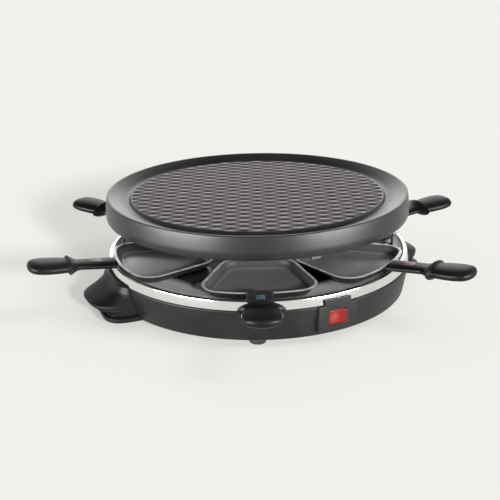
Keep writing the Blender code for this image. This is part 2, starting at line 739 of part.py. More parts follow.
def build_plate(finishes):
    """Cast grill plate: grid, channel, rim and skirt in one piece."""
    top = OVERALL_HEIGHT
    segments = 72
    outer = PLATE_RADIUS
    widest = outer + PLATE_FLARE
    inner = outer - PLATE_SKIRT_WALL
    floor = top - PLATE_FLOOR_DEPTH
    bottom = top - PLATE_HEIGHT
    grid_edge = top - GRID_TOP_DEPTH - GRID_RELIEF / 2
    channel = GRID_RADIUS + CHANNEL_WIDTH
    rim_inside = outer - 1.5 * PLATE_EDGE
    profile = [
        (GRID_RADIUS, grid_edge),
        (GRID_RADIUS + CHANNEL_WIDTH * 0.3, floor),
        (channel, floor),
        ((channel + rim_inside) / 2, (floor + top) / 2),
        (rim_inside, top),
        (outer - PLATE_EDGE * 0.4, top),
        (outer, top - PLATE_EDGE * 0.6),
        (widest, top - PLATE_HEIGHT * 0.72),
        (widest - PLATE_EDGE * 0.3, bottom + PLATE_EDGE),
        (widest - PLATE_EDGE, bottom),
        (inner, bottom),
        (inner, PLATE_UNDERSIDE + PLATE_EDGE / 2),
        (rim_inside - 2 * PLATE_THICKNESS, PLATE_UNDERSIDE),
        (0, PLATE_UNDERSIDE),
    ]
    shape = bmesh.new()
    columns = []
    for radius, height in profile[:-1]:
        columns.append([shape.verts.new(spot(radius, FULL_TURN * step / segments, height))
                        for step in range(segments)])
    for lower, upper in zip(columns, columns[1:]):
        for index in range(segments):
            after = (index + 1) % segments
            shape.faces.new((lower[index], lower[after], upper[after], upper[index]))
    shape.faces.new(columns[-1])

    points, heights, valleys = lozenge_grid()
    turn = Matrix.Rotation(radians(GRID_TURN), 2)
    points = [turn @ point for point in points]
    first = len(points)
    points += [spot(GRID_RADIUS, FULL_TURN * step / segments).xy for step in range(segments)]
    rim_edges = [(first + step, first + (step + 1) % segments) for step in range(segments)]
    result = delaunay_2d_cdt(points, valleys + rim_edges, [], 1, GAP / 10)
    flat, _, faces, sources = result[:4]
    verts = []
    for place, source in zip(flat, sources):
        origin = source[0]
        if origin >= first:
            verts.append(columns[0][origin - first])
        else:
            verts.append(shape.verts.new((place.x, place.y, top - heights[origin])))
    for face in faces:
        shape.faces.new([verts[index] for index in face])
    plate = add('grill_plate', shape, finishes.cast, smooth=25, parent=pivot(
        'plate_lift', Matrix.Translation((0, 0, 0))))
    return plate


def pan_outline(inset):
    """Rounded sector outline of a pan, drawn in by an inset.

    The outer edge follows the round of the dish. Points are (across, out).
    """
    radius = PAN_RADIUS - inset
    half = radians(PAN_HALF_ANGLE)
    outer_corner = Vector((PAN_RADIUS * math.sin(half), PAN_RADIUS * math.cos(half)))
    inner_corner = Vector((PAN_INNER_HALF_WIDTH, PAN_INNER_DISTANCE))
    along = (outer_corner - inner_corner).normalized()
    inward = Vector((-along.y, along.x))
    corner = PAN_CORNER - inset
    start = inner_corner + inward * (inset + corner)
    reach = radius - corner
    # Distance along the side at which a corner circle also touches the outer edge
    half_b = start.dot(along)
    length = -half_b + math.sqrt(half_b ** 2 - start.length_squared + reach ** 2)
    outer_centre = start + along * length
    # Corner circle that touches the side and the inner edge
    level = PAN_INNER_DISTANCE + inset + corner
    inner_centre = start + along * ((level - start.y) / along.y)
    side_angle = math.degrees(math.atan2(-inward.y, -inward.x))
    outer_angle = math.degrees(math.atan2(outer_centre.y, outer_centre.x))
    right = bend(inner_centre, corner, -90, side_angle, 4)
    right += bend(outer_centre, corner, side_angle, outer_angle, 4)
    reach_angle = 90 - outer_angle
    middle = [(radius * math.sin(radians(turn)), radius * math.cos(radians(turn)))
              for turn in (reach_angle * 0.5, 0.0, -reach_angle * 0.5)]
    left = [(-x, y) for x, y in reversed(right)]
    return right + middle + left


def pan_ring(inset, height):
    return [Vector((across, -out, height)) for across, out in pan_outline(inset)]


def build_pan_tray(name, parent, finishes):
    """Pressed tray with a rolled edge and a tang for the handle."""
    wall = PAN_FLANGE
    levels = (
        (PAN_FLOOR_INSET - PAN_SHEET / 2, 0.0),
        (PAN_FLOOR_INSET * 0.52, PAN_HEIGHT * 0.2),
        (wall, PAN_HEIGHT - PAN_SHEET),
        (0.0, PAN_HEIGHT - PAN_SHEET),
        (0.0, PAN_HEIGHT),
        (wall, PAN_HEIGHT),
        (wall + PAN_SHEET, PAN_HEIGHT - PAN_SHEET * 2),
        (PAN_FLOOR_INSET * 0.6, PAN_HEIGHT * 0.2 + PAN_SHEET),
        (PAN_FLOOR_INSET, PAN_SHEET),
    )
    rings = [pan_ring(inset, PAN_BOTTOM + height) for inset, height in levels]
    tray = add(name, shell(rings), finishes.pan, smooth=35, parent=parent)
    return tray


def tang_box(clearance):
    """Tab that joins the tray to the neck of its handle."""
    half = TANG_WIDTH / 2 + clearance
    high = PAN_RIM - PAN_SHEET * 0.1 + clearance
    low = high - TANG_THICKNESS * 0.8 - 2 * clearance
    start = PAN_RADIUS - PAN_FLANGE * 0.6
    end = PAN_RADIUS + TANG_LENGTH + clearance
    return block((-half, -end, low), (half, -start, high))


# Sections of a pan handle from the pan to the tip, as shares of its length,
# of the grip's width and of the grip's thickness, with how square each is
HANDLE_SECTION_SHARES = (
    (0.000, 0.68, 0.58, 0.84),
    (0.030, 0.72, 0.63, 0.84),
    (0.400, 0.64, 0.63, 0.84),
    (0.470, 0.74, 0.80, 0.90),
    (0.528, 1.13, 1.34, 1.12),
    (0.542, 1.18, 1.40, 1.16),
    (0.556, 1.02, 1.20, 1.04),
    (0.580, 0.86, 0.97, 0.86),
    (0.660, 0.94, 0.99, 0.84),
    (0.790, 1.00, 1.00, 0.84),
    (0.890, 0.93, 0.96, 0.84),
    (0.955, 0.74, 0.82, 0.86),
    (0.990, 0.42, 0.54, 0.90),
    (1.000, 0.14, 0.24, 0.90),
)
HANDLE_SIDES = 14


def handle_section(share, width_share, thickness_share, squareness_share):
    points = []
    for step in range(HANDLE_SIDES):
        angle = 2 * math.pi * step / HANDLE_SIDES
        cosine, sine = math.cos(angle), math.sin(angle)
        across = math.copysign(abs(cosine) ** squareness_share, cosine)
        up = math.copysign(abs(sine) ** squareness_share, sine)
        points.append(Vector((GRIP_WIDTH / 2 * width_share * across,
                              -HANDLE_LENGTH * share,
                              GRIP_THICKNESS / 2 * thickness_share * up)))
    return points


def handle_place():
    """Frame of a handle: its origin on the root, rising outwards."""
    return (Matrix.Translation((0, -HANDLE_START, PAN_RIM + HANDLE_START_ABOVE_RIM))
            @ Matrix.Rotation(radians(-HANDLE_RISE), 4, 'X'))


def build_pan(label, azimuth, yaw, pull_share, marker, finishes):
    """One pan: tray, handle and colour marker on a common slide."""
    centre = (PAN_RADIUS + PAN_INNER_DISTANCE) / 2
    swing = (Matrix.Translation((0, -centre - PAN_PULL * pull_share, 0))
             @ Matrix.Rotation(radians(yaw), 4, 'Z') @ Matrix.Translation((0, centre, 0)))
    body = pivot(f'{label}_pan_slide', around(azimuth) @ swing)

    tray = build_pan_tray(f'{label}_pan_tray', body, finishes)
    combine(tray, tool(f'{label}_pan_tang', tang_box(0.0), parent=body), 'UNION')

    sections = [handle_section(*shares) for shares in HANDLE_SECTION_SHARES]
    handle = add(f'{label}_pan_handle', shell(sections), finishes.grip, smooth=32,
                 place=handle_place(), parent=body)
    slot = tool(f'{label}_handle_slot', tang_box(GAP), parent=body)
    combine(handle, slot, 'DIFFERENCE')
    pocket = block((-MARKER_WIDTH / 2 - GAP, -MARKER_PLACE - MARKER_LENGTH / 2 - GAP, MARKER_SEAT - GAP),
                   (MARKER_WIDTH / 2 + GAP, -MARKER_PLACE + MARKER_LENGTH / 2 + GAP, MARKER_SEAT + OVERRUN))
    combine(handle, tool(f'{label}_marker_pocket', pocket, handle_place(), body), 'DIFFERENCE')

    rise = MARKER_SEAT + MARKER_THICKNESS
    chip = block((-MARKER_WIDTH / 2, -MARKER_PLACE - MARKER_LENGTH / 2, MARKER_SEAT),
                 (MARKER_WIDTH / 2, -MARKER_PLACE + MARKER_LENGTH / 2, rise))
    add(f'{label}_pan_marker', chip, finishes.markers[marker], place=handle_place(), parent=body)


# Each pan with its azimuth, how far it is turned in its place, its share of
# the pull outwards and its marker
PAN_SHARES = (
    ('front_left', -27.3, 1.0, 0.0, 'teal'),
    ('front_right', 29.8, -2.0, 0.0, 'red'),
    ('left', -91.0, -5.0, 0.6, 'olive'),
    ('right', 88.3, 0.0, 1.0, 'blue'),
    ('rear_left', -147.5, 0.0, 1.0, 'orange'),
    ('rear_right', 149.0, 0.0, 1.0, 'white'),
)


def build_switch(finishes):
    """Housing, rocker, pin, switch body and lamp."""
    half = HOUSING_WIDTH / 2
    housing = add('switch_housing',
                  block((-half, HOUSING_FRONT, HOUSING_LOW),
                        (half, HOUSING_BACK, BASE_TOP - GAP)), finishes.base)
    tab_half = HOUSING_TAB_WIDTH / 2
    tab = block((-tab_half, HOUSING_FRONT, BASE_TOP - HOUSING_TAB_HEIGHT / 2),
                (tab_half, HOUSING_FRONT + TAB_THICKNESS, BASE_TOP + HOUSING_TAB_HEIGHT))
    combine(housing, tool('housing_tab', tab), 'UNION')
    window = (ROCKER_WIDTH / 2 + 2 * GAP, ROCKER_HEIGHT / 2 + GAP)
    pivot_y = HOUSING_FRONT + ROCKER_PIVOT_DEPTH
    cuts = [block((-window[0], HOUSING_FRONT - OVERRUN, ROCKER_CENTRE_HEIGHT - window[1]),
                  (window[0], HOUSING_BACK + OVERRUN, ROCKER_CENTRE_HEIGHT + window[1]))]
    combine(housing, tool('housing_window', gather(cuts)), 'DIFFERENCE')
    pin_low = ROCKER_CENTRE_HEIGHT - PIN_LENGTH / 2
    pin_high = ROCKER_CENTRE_HEIGHT + PIN_LENGTH / 2
    place = Matrix.Translation((0, pivot_y, 0))
    bore = tool('housing_pin_bore', drum(PIN_RADIUS + GAP, pin_low - GAP, pin_high + GAP, 8, place))
    combine(housing, bore, 'DIFFERENCE')
    add('rocker_pin', drum(PIN_RADIUS, pin_low, pin_high, 8, place), finishes.zinc)

    reach = ROCKER_WIDTH / 2
    front = ROCKER_PIVOT_DEPTH + ROCKER_HOLLOW
    back = ROCKER_THICKNESS - ROCKER_PIVOT_DEPTH
    outline = [(-reach, back), (-reach, -front)]
    steps = 6
    for step in range(1, steps):
        share = 2 * step / steps - 1
        outline.append((reach * share, -front + ROCKER_HOLLOW * (1 - share ** 2)))
    outline += [(reach, -front), (reach, back), (reach / 2, back + ROCKER_HOLLOW),
                (-reach / 2, back + ROCKER_HOLLOW)]
    hinge = pivot('rocker_hinge', place @ Matrix.Translation((0, 0, ROCKER_CENTRE_HEIGHT))
                  @ Matrix.Rotation(radians(-ROCKER_TILT), 4, 'Z'))
    rocker = add('rocker', prism(outline, -ROCKER_HEIGHT / 2, ROCKER_HEIGHT / 2), finishes.red,
                 parent=hinge)
    hole = drum(PIN_RADIUS + GAP, -ROCKER_HEIGHT, ROCKER_HEIGHT, 8)
    combine(rocker, tool('rocker_bore', hole, parent=hinge), 'DIFFERENCE')

    body_front = HOUSING_FRONT + SWITCH_BODY_SETBACK
    body = add('switch_body',
               block((-reach, body_front, ROCKER_CENTRE_HEIGHT - ROCKER_HEIGHT / 2),
                     (reach, body_front + SWITCH_BODY_DEPTH, ROCKER_CENTRE_HEIGHT + ROCKER_HEIGHT / 2)),
               finishes.base)
    lamp_depth = body_front + LAMP_RADIUS
    pocket = block((-LAMP_LENGTH / 2 - GAP, body_front - OVERRUN, ROCKER_CENTRE_HEIGHT - LAMP_RADIUS - GAP),
                   (LAMP_LENGTH / 2 + GAP, lamp_depth + LAMP_RADIUS + GAP,
                    ROCKER_CENTRE_HEIGHT + LAMP_RADIUS + GAP))
    combine(body, tool('lamp_pocket', pocket), 'DIFFERENCE')
    lie = Matrix.Translation((0, lamp_depth, ROCKER_CENTRE_HEIGHT)) @ Matrix.Rotation(radians(90), 4, 'Y')
    add('indicator_lamp', drum(LAMP_RADIUS, -LAMP_LENGTH / 2, LAMP_LENGTH / 2, 10, lie),
        finishes.glass)


# Levels of a carrying handle: shares of its height, reach and half width,
# with how square its outline is. A foot plate, an undercut, a lip that sticks
# out for the fingers, and a roof that falls back to the wall of the base
CARRY_LEVEL_SHARES = (
    (0.00, 0.765, 0.985, 0.50),
    (0.03, 0.79, 1.00, 0.50),
    (0.14, 0.79, 1.00, 0.50),
    (0.17, 0.74, 0.86, 0.60),
    (0.28, 0.92, 0.86, 0.78),
    (0.34, 0.985, 0.86, 0.86),
    (0.40, 1.00, 0.86, 0.88),
    (0.46, 0.955, 0.855, 0.88),
    (0.60, 0.73, 0.84, 0.86),
    (0.78, 0.54, 0.82, 0.84),
    (1.00, 0.46, 0.79, 0.80),
)
CARRY_HOLLOW_SHARES = (
    (0.17, 0.74, 0.86, 0.60),
    (0.46, 0.74, 0.86, 0.70),
    (0.64, 0.57, 0.80, 0.75),
    (0.88, 0.42, 0.78, 0.75),
)
CARRY_POINTS = 14


def carry_ring(height, reach, half, waist, squareness_share):
    """Blunt D-shaped outline of a carrying handle at one height."""
    points = []
    for step in range(CARRY_POINTS + 1):
        angle = math.pi * step / CARRY_POINTS
        cosine = math.cos(angle)
        across = half * math.copysign(abs(cosine) ** squareness_share, cosine)
        dip = waist * (1 - (across / half) ** 2) ** 2
        out = CARRY_ROOT_RADIUS + reach * abs(math.sin(angle)) ** squareness_share - dip
        points.append(Vector((across, -out, height)))
    return points


def build_carrying_handles(finishes):
    """Hollow grips on both sides, open from below for the fingers."""
    low, high = BASE_BOTTOM + GAP, BASE_TOP + GAP
    rings = [carry_ring(low + (high - low) * level, CARRY_REACH * reach, CARRY_HALF_WIDTH * half,
                        CARRY_WAIST, squareness)
             for level, reach, half, squareness in CARRY_LEVEL_SHARES]
    hollow = [carry_ring(low + (high - low) * level, CARRY_REACH * reach - CARRY_WALL,
                         CARRY_HALF_WIDTH * half - CARRY_WALL, CARRY_WAIST, squareness)
              for level, reach, half, squareness in CARRY_HOLLOW_SHARES]
    mouth = [Vector((point.x, point.y, low - OVERRUN)) for point in hollow[0]]
    clearance = GAP * 1.4
    cone = [(0, BASE_BOTTOM - OVERRUN),
            (base_wall_radius(BASE_BOTTOM - OVERRUN) + clearance, BASE_BOTTOM - OVERRUN),
            (base_wall_radius(BASE_TOP + OVERRUN) + clearance, BASE_TOP + OVERRUN),
            (0, BASE_TOP + OVERRUN)]
    core = tool('carry_core', turned(cone, 180))
    for name, azimuth in zip(('carrying_handle_left', 'carrying_handle_right'), CARRY_AZIMUTHS):
        handle = add(name, shell(rings), finishes.grip, smooth=32, place=around(azimuth))
        combine(handle, tool(f'{name}_hollow', shell([mouth] + hollow), around(azimuth)),
                'DIFFERENCE')
        combine(handle, core, 'DIFFERENCE')


def build_terminals(finishes):
    """Terminal block on the cover and the fuse under the dish."""
    low = COVER_TOP + GAP
    high = BLOCK_TOP
    middle = ELEMENT_LEG_DISTANCE
    terminal = add('terminal_block',
                   block((-BLOCK_WIDTH / 2, middle - BLOCK_DEPTH / 2, low),
                         (BLOCK_WIDTH / 2, middle + BLOCK_DEPTH / 2, high)), finishes.ceramic)
    sockets = [drum(ELEMENT_RADIUS + GAP, high - BLOCK_SOCKET_DEPTH, high + OVERRUN, 12,
                    Matrix.Translation((side * ELEMENT_LEG_SPACING / 2, middle, 0)))
               for side in (-1, 1)]
    combine(terminal, tool('terminal_sockets', gather(sockets)), 'DIFFERENCE')

    height = DISH_FLOOR - SHEET - GAP - FUSE_RADIUS
    lie = (around(FUSE_AZIMUTH) @ Matrix.Translation((0, -FUSE_CIRCLE, height))
           @ Matrix.Rotation(radians(90), 4, 'Y'))
    add('thermal_fuse', drum(FUSE_RADIUS, -FUSE_LENGTH / 2, FUSE_LENGTH / 2, 10, lie),
        finishes.aluminium, 40)


def arc_points(radius, start, end, height, steps):
    return [spot(radius, start + (end - start) * step / steps, height)
            for step in range(steps + 1)]


def build_wires(finishes):
    """Leads between the inlet, the switch, the fuse and the terminals."""
    body_back = -(HOUSING_FRONT + SWITCH_BODY_SETBACK + SWITCH_BODY_DEPTH) - GAP
    inside = body_back - WIRE_BEND
    spread = ROCKER_WIDTH / 4
    wall = BASE_BOTTOM_RADIUS
    low = ROCKER_CENTRE_HEIGHT
    first_turn = 14
    last_turn = 163
    inlet_turn = 4

    live = [Vector((WIRE_RADIUS + GAP, wall, INLET_HEIGHT)),
            Vector((WIRE_RADIUS + GAP, INLET_TURN_RADIUS, INLET_HEIGHT)),
            spot(INLET_TURN_RADIUS, 180 - inlet_turn, INLET_HEIGHT),
            spot(POST_SCREW_CIRCLE, 180 - 2.5 * inlet_turn, INLET_HEIGHT)]
    live += arc_points(WIRE_CIRCLE, last_turn, first_turn, WIRE_HEIGHT, 18)
    live += [Vector((spread, -inside, low)), Vector((spread, -body_back, low))]
    add('wire_live', tube(live, WIRE_RADIUS, 6), finishes.brown_wire, 50)

    fuse_height = DISH_FLOOR - SHEET - GAP - FUSE_RADIUS
    end_offset = math.degrees((FUSE_LENGTH / 2 + GAP) / FUSE_CIRCLE)
    fuse_frame = around(FUSE_AZIMUTH)
    near_end = fuse_frame @ Vector((-(FUSE_LENGTH / 2 + GAP), -FUSE_CIRCLE, fuse_height))
    far_end = fuse_frame @ Vector((FUSE_LENGTH / 2 + GAP, -FUSE_CIRCLE, fuse_height))
    outward = (fuse_frame @ Vector((1, 0, 0)))

    inner_circle = WIRE_CIRCLE - 4 * WIRE_RADIUS
    switched = [Vector((-spread, -body_back, low)), Vector((-spread, -inside, low))]
    switched += arc_points(inner_circle, first_turn / 2, FUSE_AZIMUTH - 4 * end_offset,
                           WIRE_HEIGHT, 18)
    switched += [near_end - outward * WIRE_BEND, near_end]
    add('wire_switched', tube(switched, WIRE_RADIUS, 6), finishes.black_wire, 50)

    block_top = BLOCK_TOP + GAP
    post = Vector((BLOCK_WIDTH / 2 - 2 * WIRE_RADIUS, ELEMENT_LEG_DISTANCE, block_top))
    fused = [far_end, far_end + outward * WIRE_BEND / 2,
             Vector((post.x, post.y, (fuse_height + block_top) / 2)), post]
    add('wire_fused', tube(fused, WIRE_RADIUS, 6), finishes.black_wire, 50)

    side = -(WIRE_RADIUS + GAP)
    neutral = [Vector((side, wall, INLET_HEIGHT)), Vector((side, INLET_TURN_RADIUS, INLET_HEIGHT)),
               spot(INLET_TURN_RADIUS, 180 + inlet_turn, INLET_HEIGHT),
               spot(POST_SCREW_CIRCLE, 180 + 2 * inlet_turn, block_top + WIRE_BEND / 2),
               Vector((-post.x, post.y, block_top + WIRE_BEND)),
               Vector((-post.x, post.y, block_top))]
    add('wire_neutral', tube(neutral, WIRE_RADIUS, 6), finishes.blue_wire, 50)


def build_inlet(finishes):
    """Rubber grommet for the mains lead in the back of the base."""
    lip = INLET_BARREL_RADIUS + INLET_LIP
    seat = base_wall_radius(INLET_HEIGHT + INLET_FLANGE_RADIUS) + GAP
    wall_inside = base_inside_radius(INLET_HEIGHT - lip)
    inside = math.sqrt(wall_inside ** 2 - lip ** 2) - 2 * GAP
    profile = [
        (INLET_BORE_RADIUS, inside - INLET_FLANGE),
        (lip, inside - INLET_FLANGE),
        (lip, inside),
        (INLET_BARREL_RADIUS, inside),
        (INLET_BARREL_RADIUS, seat),
        (INLET_FLANGE_RADIUS, seat),
        (INLET_FLANGE_RADIUS, seat + INLET_FLANGE * 0.6),
        (INLET_FLANGE_RADIUS - INLET_LIP / 2, seat + INLET_FLANGE),
        (INLET_BORE_RADIUS, seat + INLET_FLANGE),
    ]
    shape = turned(profile, 16)
    shape.transform(INLET_AXIS)
    add('cable_inlet', shape, finishes.rubber, 35)


def main():
    clear_scene()
    finishes = Finishes()
    build_base(finishes)
    build_cover(finishes)
    build_dish(finishes)
    build_supports(finishes)
    build_element(finishes)
    build_plate(finishes)
    for label, azimuth, yaw, pull_share, marker in PAN_SHARES:
        build_pan(label, azimuth, yaw, pull_share, marker, finishes)
    build_switch(finishes)
    build_carrying_handles(finishes)
    build_terminals(finishes)
    build_wires(finishes)
    build_inlet(finishes)


main()
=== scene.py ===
"""Looks of a round raclette grill for six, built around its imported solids.

Metres, +Z up, the rocker switch at -Y. An azimuth is measured from -Y towards
+X. Angles are in degrees until they reach a sine or a matrix.
"""

from __future__ import annotations

import logging
import math
from dataclasses import dataclass
from enum import Enum
from typing import Any, Callable, Dict, List, NamedTuple, Optional, Sequence, Tuple, Union

import bmesh
import bpy
from mathutils import Matrix, Vector
from mathutils.geometry import delaunay_2d_cdt


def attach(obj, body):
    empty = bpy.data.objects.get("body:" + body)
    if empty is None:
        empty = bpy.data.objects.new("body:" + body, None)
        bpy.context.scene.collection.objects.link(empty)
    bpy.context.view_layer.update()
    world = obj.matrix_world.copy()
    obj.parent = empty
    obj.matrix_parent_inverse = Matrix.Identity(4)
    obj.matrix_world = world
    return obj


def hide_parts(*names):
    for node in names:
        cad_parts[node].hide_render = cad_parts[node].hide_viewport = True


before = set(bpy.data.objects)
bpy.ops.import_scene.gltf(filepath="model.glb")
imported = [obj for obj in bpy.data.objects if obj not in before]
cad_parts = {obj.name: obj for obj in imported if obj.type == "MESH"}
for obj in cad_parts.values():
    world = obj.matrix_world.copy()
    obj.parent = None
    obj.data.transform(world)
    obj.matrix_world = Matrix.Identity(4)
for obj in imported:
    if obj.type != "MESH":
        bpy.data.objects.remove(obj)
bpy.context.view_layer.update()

Pair = Tuple[float, float]
Triple = Tuple[float, float, float]
Colour = Triple
Number = Union[float, "Signal"]
Socket = bpy.types.NodeSocket
Piece = bpy.types.Object
Material = bpy.types.Material

logging.basicConfig(level=logging.INFO, format="%(name)s: %(message)s")
log = logging.getLogger("raclette_grill")

GAP = 0.0003
OVERRUN = 0.01
IDENTITY = Matrix.Identity(4)
STRAIGHT = math.radians(89)
MERGE = 1e-7
BEVEL_PROFILE = 0.6
CLOUD_EDGES = (0.3, 0.7)
MEAN_NOISE = 0.5

GRID_RADIUS = 0.125
LOZENGE_LENGTH = 0.01225
LOZENGE_PITCH = 0.0061
LOZENGE_TURN = -27.5
DISH_FLOOR_RADIUS = 0.1373
PAN_BOTTOM = 0.0437
PAN_HEIGHT = 0.0088


# Places and outlines


def spot(radius: float, azimuth: float, height: float = 0.0) -> Vector:
    """Point at a radius, an azimuth in degrees and a height."""
    angle = math.radians(azimuth)
    return Vector((radius * math.sin(angle), -radius * math.cos(angle), height))


def around(azimuth: float) -> Matrix:
    """Turn from the place on -Y to the same place at an azimuth in degrees."""
    return Matrix.Rotation(math.radians(azimuth), 4, "Z")


def shift(x: float = 0.0, y: float = 0.0, z: float = 0.0) -> Matrix:
    """Translation as a matrix."""
    return Matrix.Translation((x, y, z))


def bulge(value: float, power: float) -> float:
    """Power of a number that keeps its sign; below 1 it squares a circle."""
    return math.copysign(abs(value) ** power, value)


def arc(centre: Pair, radius: float, start: float, end: float, steps: int) -> List[Pair]:
    """Points on an arc.

    Args:
        centre: centre of the arc.
        radius: its radius.
        start: first angle in degrees.
        end: last angle in degrees.
        steps: number of stretches.

    Returns:
        The points, both ends included.
    """
    angles = [math.radians(start + (end - start) * step / steps) for step in range(steps + 1)]
    return [(centre[0] + radius * math.cos(a), centre[1] + radius * math.sin(a)) for a in angles]


def circle(radius: float, sides: int) -> List[Pair]:
    """Corners of a regular polygon round the origin."""
    return arc((0, 0), radius, 0, 360 - 360 / sides, sides - 1)


def rounded(points: Sequence[Triple], steps: int = 4, closed: bool = True) -> List[Pair]:
    """Outline with its corners rounded.

    Args:
        points: corners as (x, y, radius); a radius of zero keeps the corner.
        steps: stretches in each rounding.
        closed: whether the last corner joins the first.

    Returns:
        The points of the rounded outline.
    """
    result: List[Pair] = []
    count = len(points)
    for index, (x, y, radius) in enumerate(points):
        if radius <= 0 or (not closed and index in (0, count - 1)):
            result.append((x, y))
            continue
        here = Vector((x, y))
        before = (Vector(points[index - 1][:2]) - here).normalized()
        after = (Vector(points[(index + 1) % count][:2]) - here).normalized()
        half = before.angle(after) / 2
        if half > STRAIGHT:
            result.append((x, y))
            continue
        reach = radius / math.tan(half)
        centre = here + (before + after).normalized() * (radius / math.sin(half))
        start = here + before * reach - centre
        end = here + after * reach - centre
        turn = math.atan2(start.x * end.y - start.y * end.x, start.dot(end))
        for step in range(steps + 1):
            angle = turn * step / steps
            cosine, sine = math.cos(angle), math.sin(angle)
            result.append((centre.x + start.x * cosine - start.y * sine,
                           centre.y + start.x * sine + start.y * cosine))
    return result


def plaque(half: float, low: float, high: float, radius: float) -> List[Pair]:
    """Rectangle about the Y axis with rounded corners."""
    return rounded([(x, y, radius) for x, y in ((-half, low), (half, low), (half, high),
                                                (-half, high))], steps=3)


def eased(rows: Sequence[Sequence[float]], count: int) -> List[List[float]]:
    """Smooth curve through rows of numbers, the first number being the place.

    Args:
        rows: rows of numbers in order of their first number.
        count: number of rows wanted.

    Returns:
        Rows at places spread by the same shares between the given rows.
    """
    result = []
    last = len(rows) - 1
    for step in range(count):
        place = last * step / (count - 1)
        index = min(int(place), last - 1)
        t = place - index
        near = [rows[min(max(index + k, 0), last)] for k in (-1, 0, 1, 2)]
        result.append([0.5 * (2 * b + (c - a) * t + (2 * a - 5 * b + 4 * c - d) * t * t
                              + (3 * b - a - 3 * c + d) * t ** 3)
                       for a, b, c, d in zip(*near)])
    return result


class Form:
    """A mesh under construction."""

    def __init__(self) -> None:
        """Start with an empty mesh."""
        self.mesh = bmesh.new()

    def lathe(self, profile: Sequence[Pair], segments: int = 160, closed: bool = True) -> "Form":
        """Turn an outline of (radius, height) about Z.

        Args:
            profile: the outline; a radius of zero lies on the axis.
            segments: number of steps round the axis.
            closed: whether the outline joins up with its start.

        Returns:
            This form.
        """
        columns = []
        for radius, height in profile:
            if radius == 0:
                columns.append([self.mesh.verts.new((0, 0, height))] * segments)
            else:
                columns.append([self.mesh.verts.new(spot(radius, 360 * step / segments, height))
                                for step in range(segments)])
        pairs = list(zip(columns, columns[1:]))
        if closed and profile[0][0] > 0:
            pairs.append((columns[-1], columns[0]))
        for lower, upper in pairs:
            for index in range(segments):
                after = (index + 1) % segments
                corners = list(dict.fromkeys((lower[index], lower[after], upper[after],
                                              upper[index])))
                if len(corners) > 2:
                    self.mesh.faces.new(corners)
        return self

    def loft(self, rings: Sequence[Sequence[Vector]]) -> "Form":
        """Skin closed rings of as many points each, and fill the first and the last.

        Args:
            rings: the rings, in order.

        Returns:
            This form.
        """
        rows = [[self.mesh.verts.new(point) for point in ring] for ring in rings]
        for lower, upper in zip(rows, rows[1:]):
            for index in range(len(lower)):
                after = (index + 1) % len(lower)
                self.mesh.faces.new((lower[index], lower[after], upper[after], upper[index]))
        self.mesh.faces.new(list(reversed(rows[0])))
        self.mesh.faces.new(rows[-1])
        return self

    def prism(self, outline: Sequence[Pair], low: float, high: float) -> "Form":
        """Stand an outline in XY up between two heights."""
        return self.loft([[Vector((x, y, z)) for x, y in outline] for z in (low, high)])

    def block(self, low: Sequence[float], high: Sequence[float]) -> "Form":
        """Box between two corners."""
        outline = [(low[0], low[1]), (high[0], low[1]), (high[0], high[1]), (low[0], high[1])]
        return self.prism(outline, low[2], high[2])

    def strap(self, outline: Sequence[Pair], width: float) -> "Form":
        """Extrude an outline in (distance out, height) sideways by a width."""
        return self.loft([[Vector((side * width / 2, -out, up)) for out, up in outline]
                          for side in (-1, 1)])

    def tube(self, path: Sequence[Vector], radius: float, sides: int = 16) -> "Form":
        """Sweep a round section along a path, with flat ends.

        Args:
            path: points of its centre line.
            radius: radius of the section.
            sides: number of corners of the section.

        Returns:
            This form.
        """
        tangents = []
        for index in range(len(path)):
            before, after = path[max(index - 1, 0)], path[min(index + 1, len(path) - 1)]
            tangents.append((after - before).normalized())
        normal = tangents[0].orthogonal().normalized()
        rings = []
        for point, tangent in zip(path, tangents):
            normal = (normal - tangent * normal.dot(tangent)).normalized()
            side = tangent.cross(normal)
            rings.append([point + normal * x + side * y for x, y in circle(radius, sides)])
        return self.loft(rings)

    def sheet(self, rim: Sequence[bmesh.types.BMVert], inside: Sequence[Pair],
              height: Callable[[float, float], float]) -> "Form":
        """Fill the region in a rim with faces whose height follows a function.

        Args:
            rim: vertices on the edge of the region, in order.
            inside: points inside it.
            height: height at a point.

        Returns:
            This form.
        """
        points = [tuple(corner.co.xy) for corner in rim] + list(inside)
        edges = [(k, (k + 1) % len(rim)) for k in range(len(rim))]
        flat, _, faces, sources = delaunay_2d_cdt([Vector(p) for p in points], edges, [], 1,
                                                  MERGE)[:4]
        made = []
        for place, source in zip(flat, sources):
            known = bool(source) and source[0] < len(rim)
            made.append(rim[source[0]] if known else
                        self.mesh.verts.new((place.x, place.y, height(place.x, place.y))))
        for face in faces:
            self.mesh.faces.new([made[index] for index in face])
        return self

    def bevel(self, width: float, segments: int = 2, angle: float = 35) -> "Form":
        """Round the edges that are sharper than an angle in degrees.

        Args:
            width: how far the rounding reaches from the edge.
            segments: number of stretches across it.
            angle: the angle that an edge has to pass.

        Returns:
            This form.
        """
        self.mesh.normal_update()
        edges = [edge for edge in self.mesh.edges
                 if len(edge.link_faces) == 2 and edge.calc_face_angle(0) > math.radians(angle)]
        bmesh.ops.bevel(self.mesh, geom=edges, offset=width, segments=segments,
                        profile=BEVEL_PROFILE, affect="EDGES", clamp_overlap=True)
        return self

    def object(self, name: str, smooth: float = 40, place: Matrix = IDENTITY) -> Piece:
        """Turn the form into an object.

        Args:
            name: name of the object.
            smooth: edges sharper than this angle in degrees stay sharp.
            place: where it stands.

        Returns:
            The object.
        """
        bmesh.ops.recalc_face_normals(self.mesh, faces=self.mesh.faces)
        data = bpy.data.meshes.new(name)
        self.mesh.to_mesh(data)
        self.mesh.free()
        soften(data, smooth)
        return stand(name, data, place)


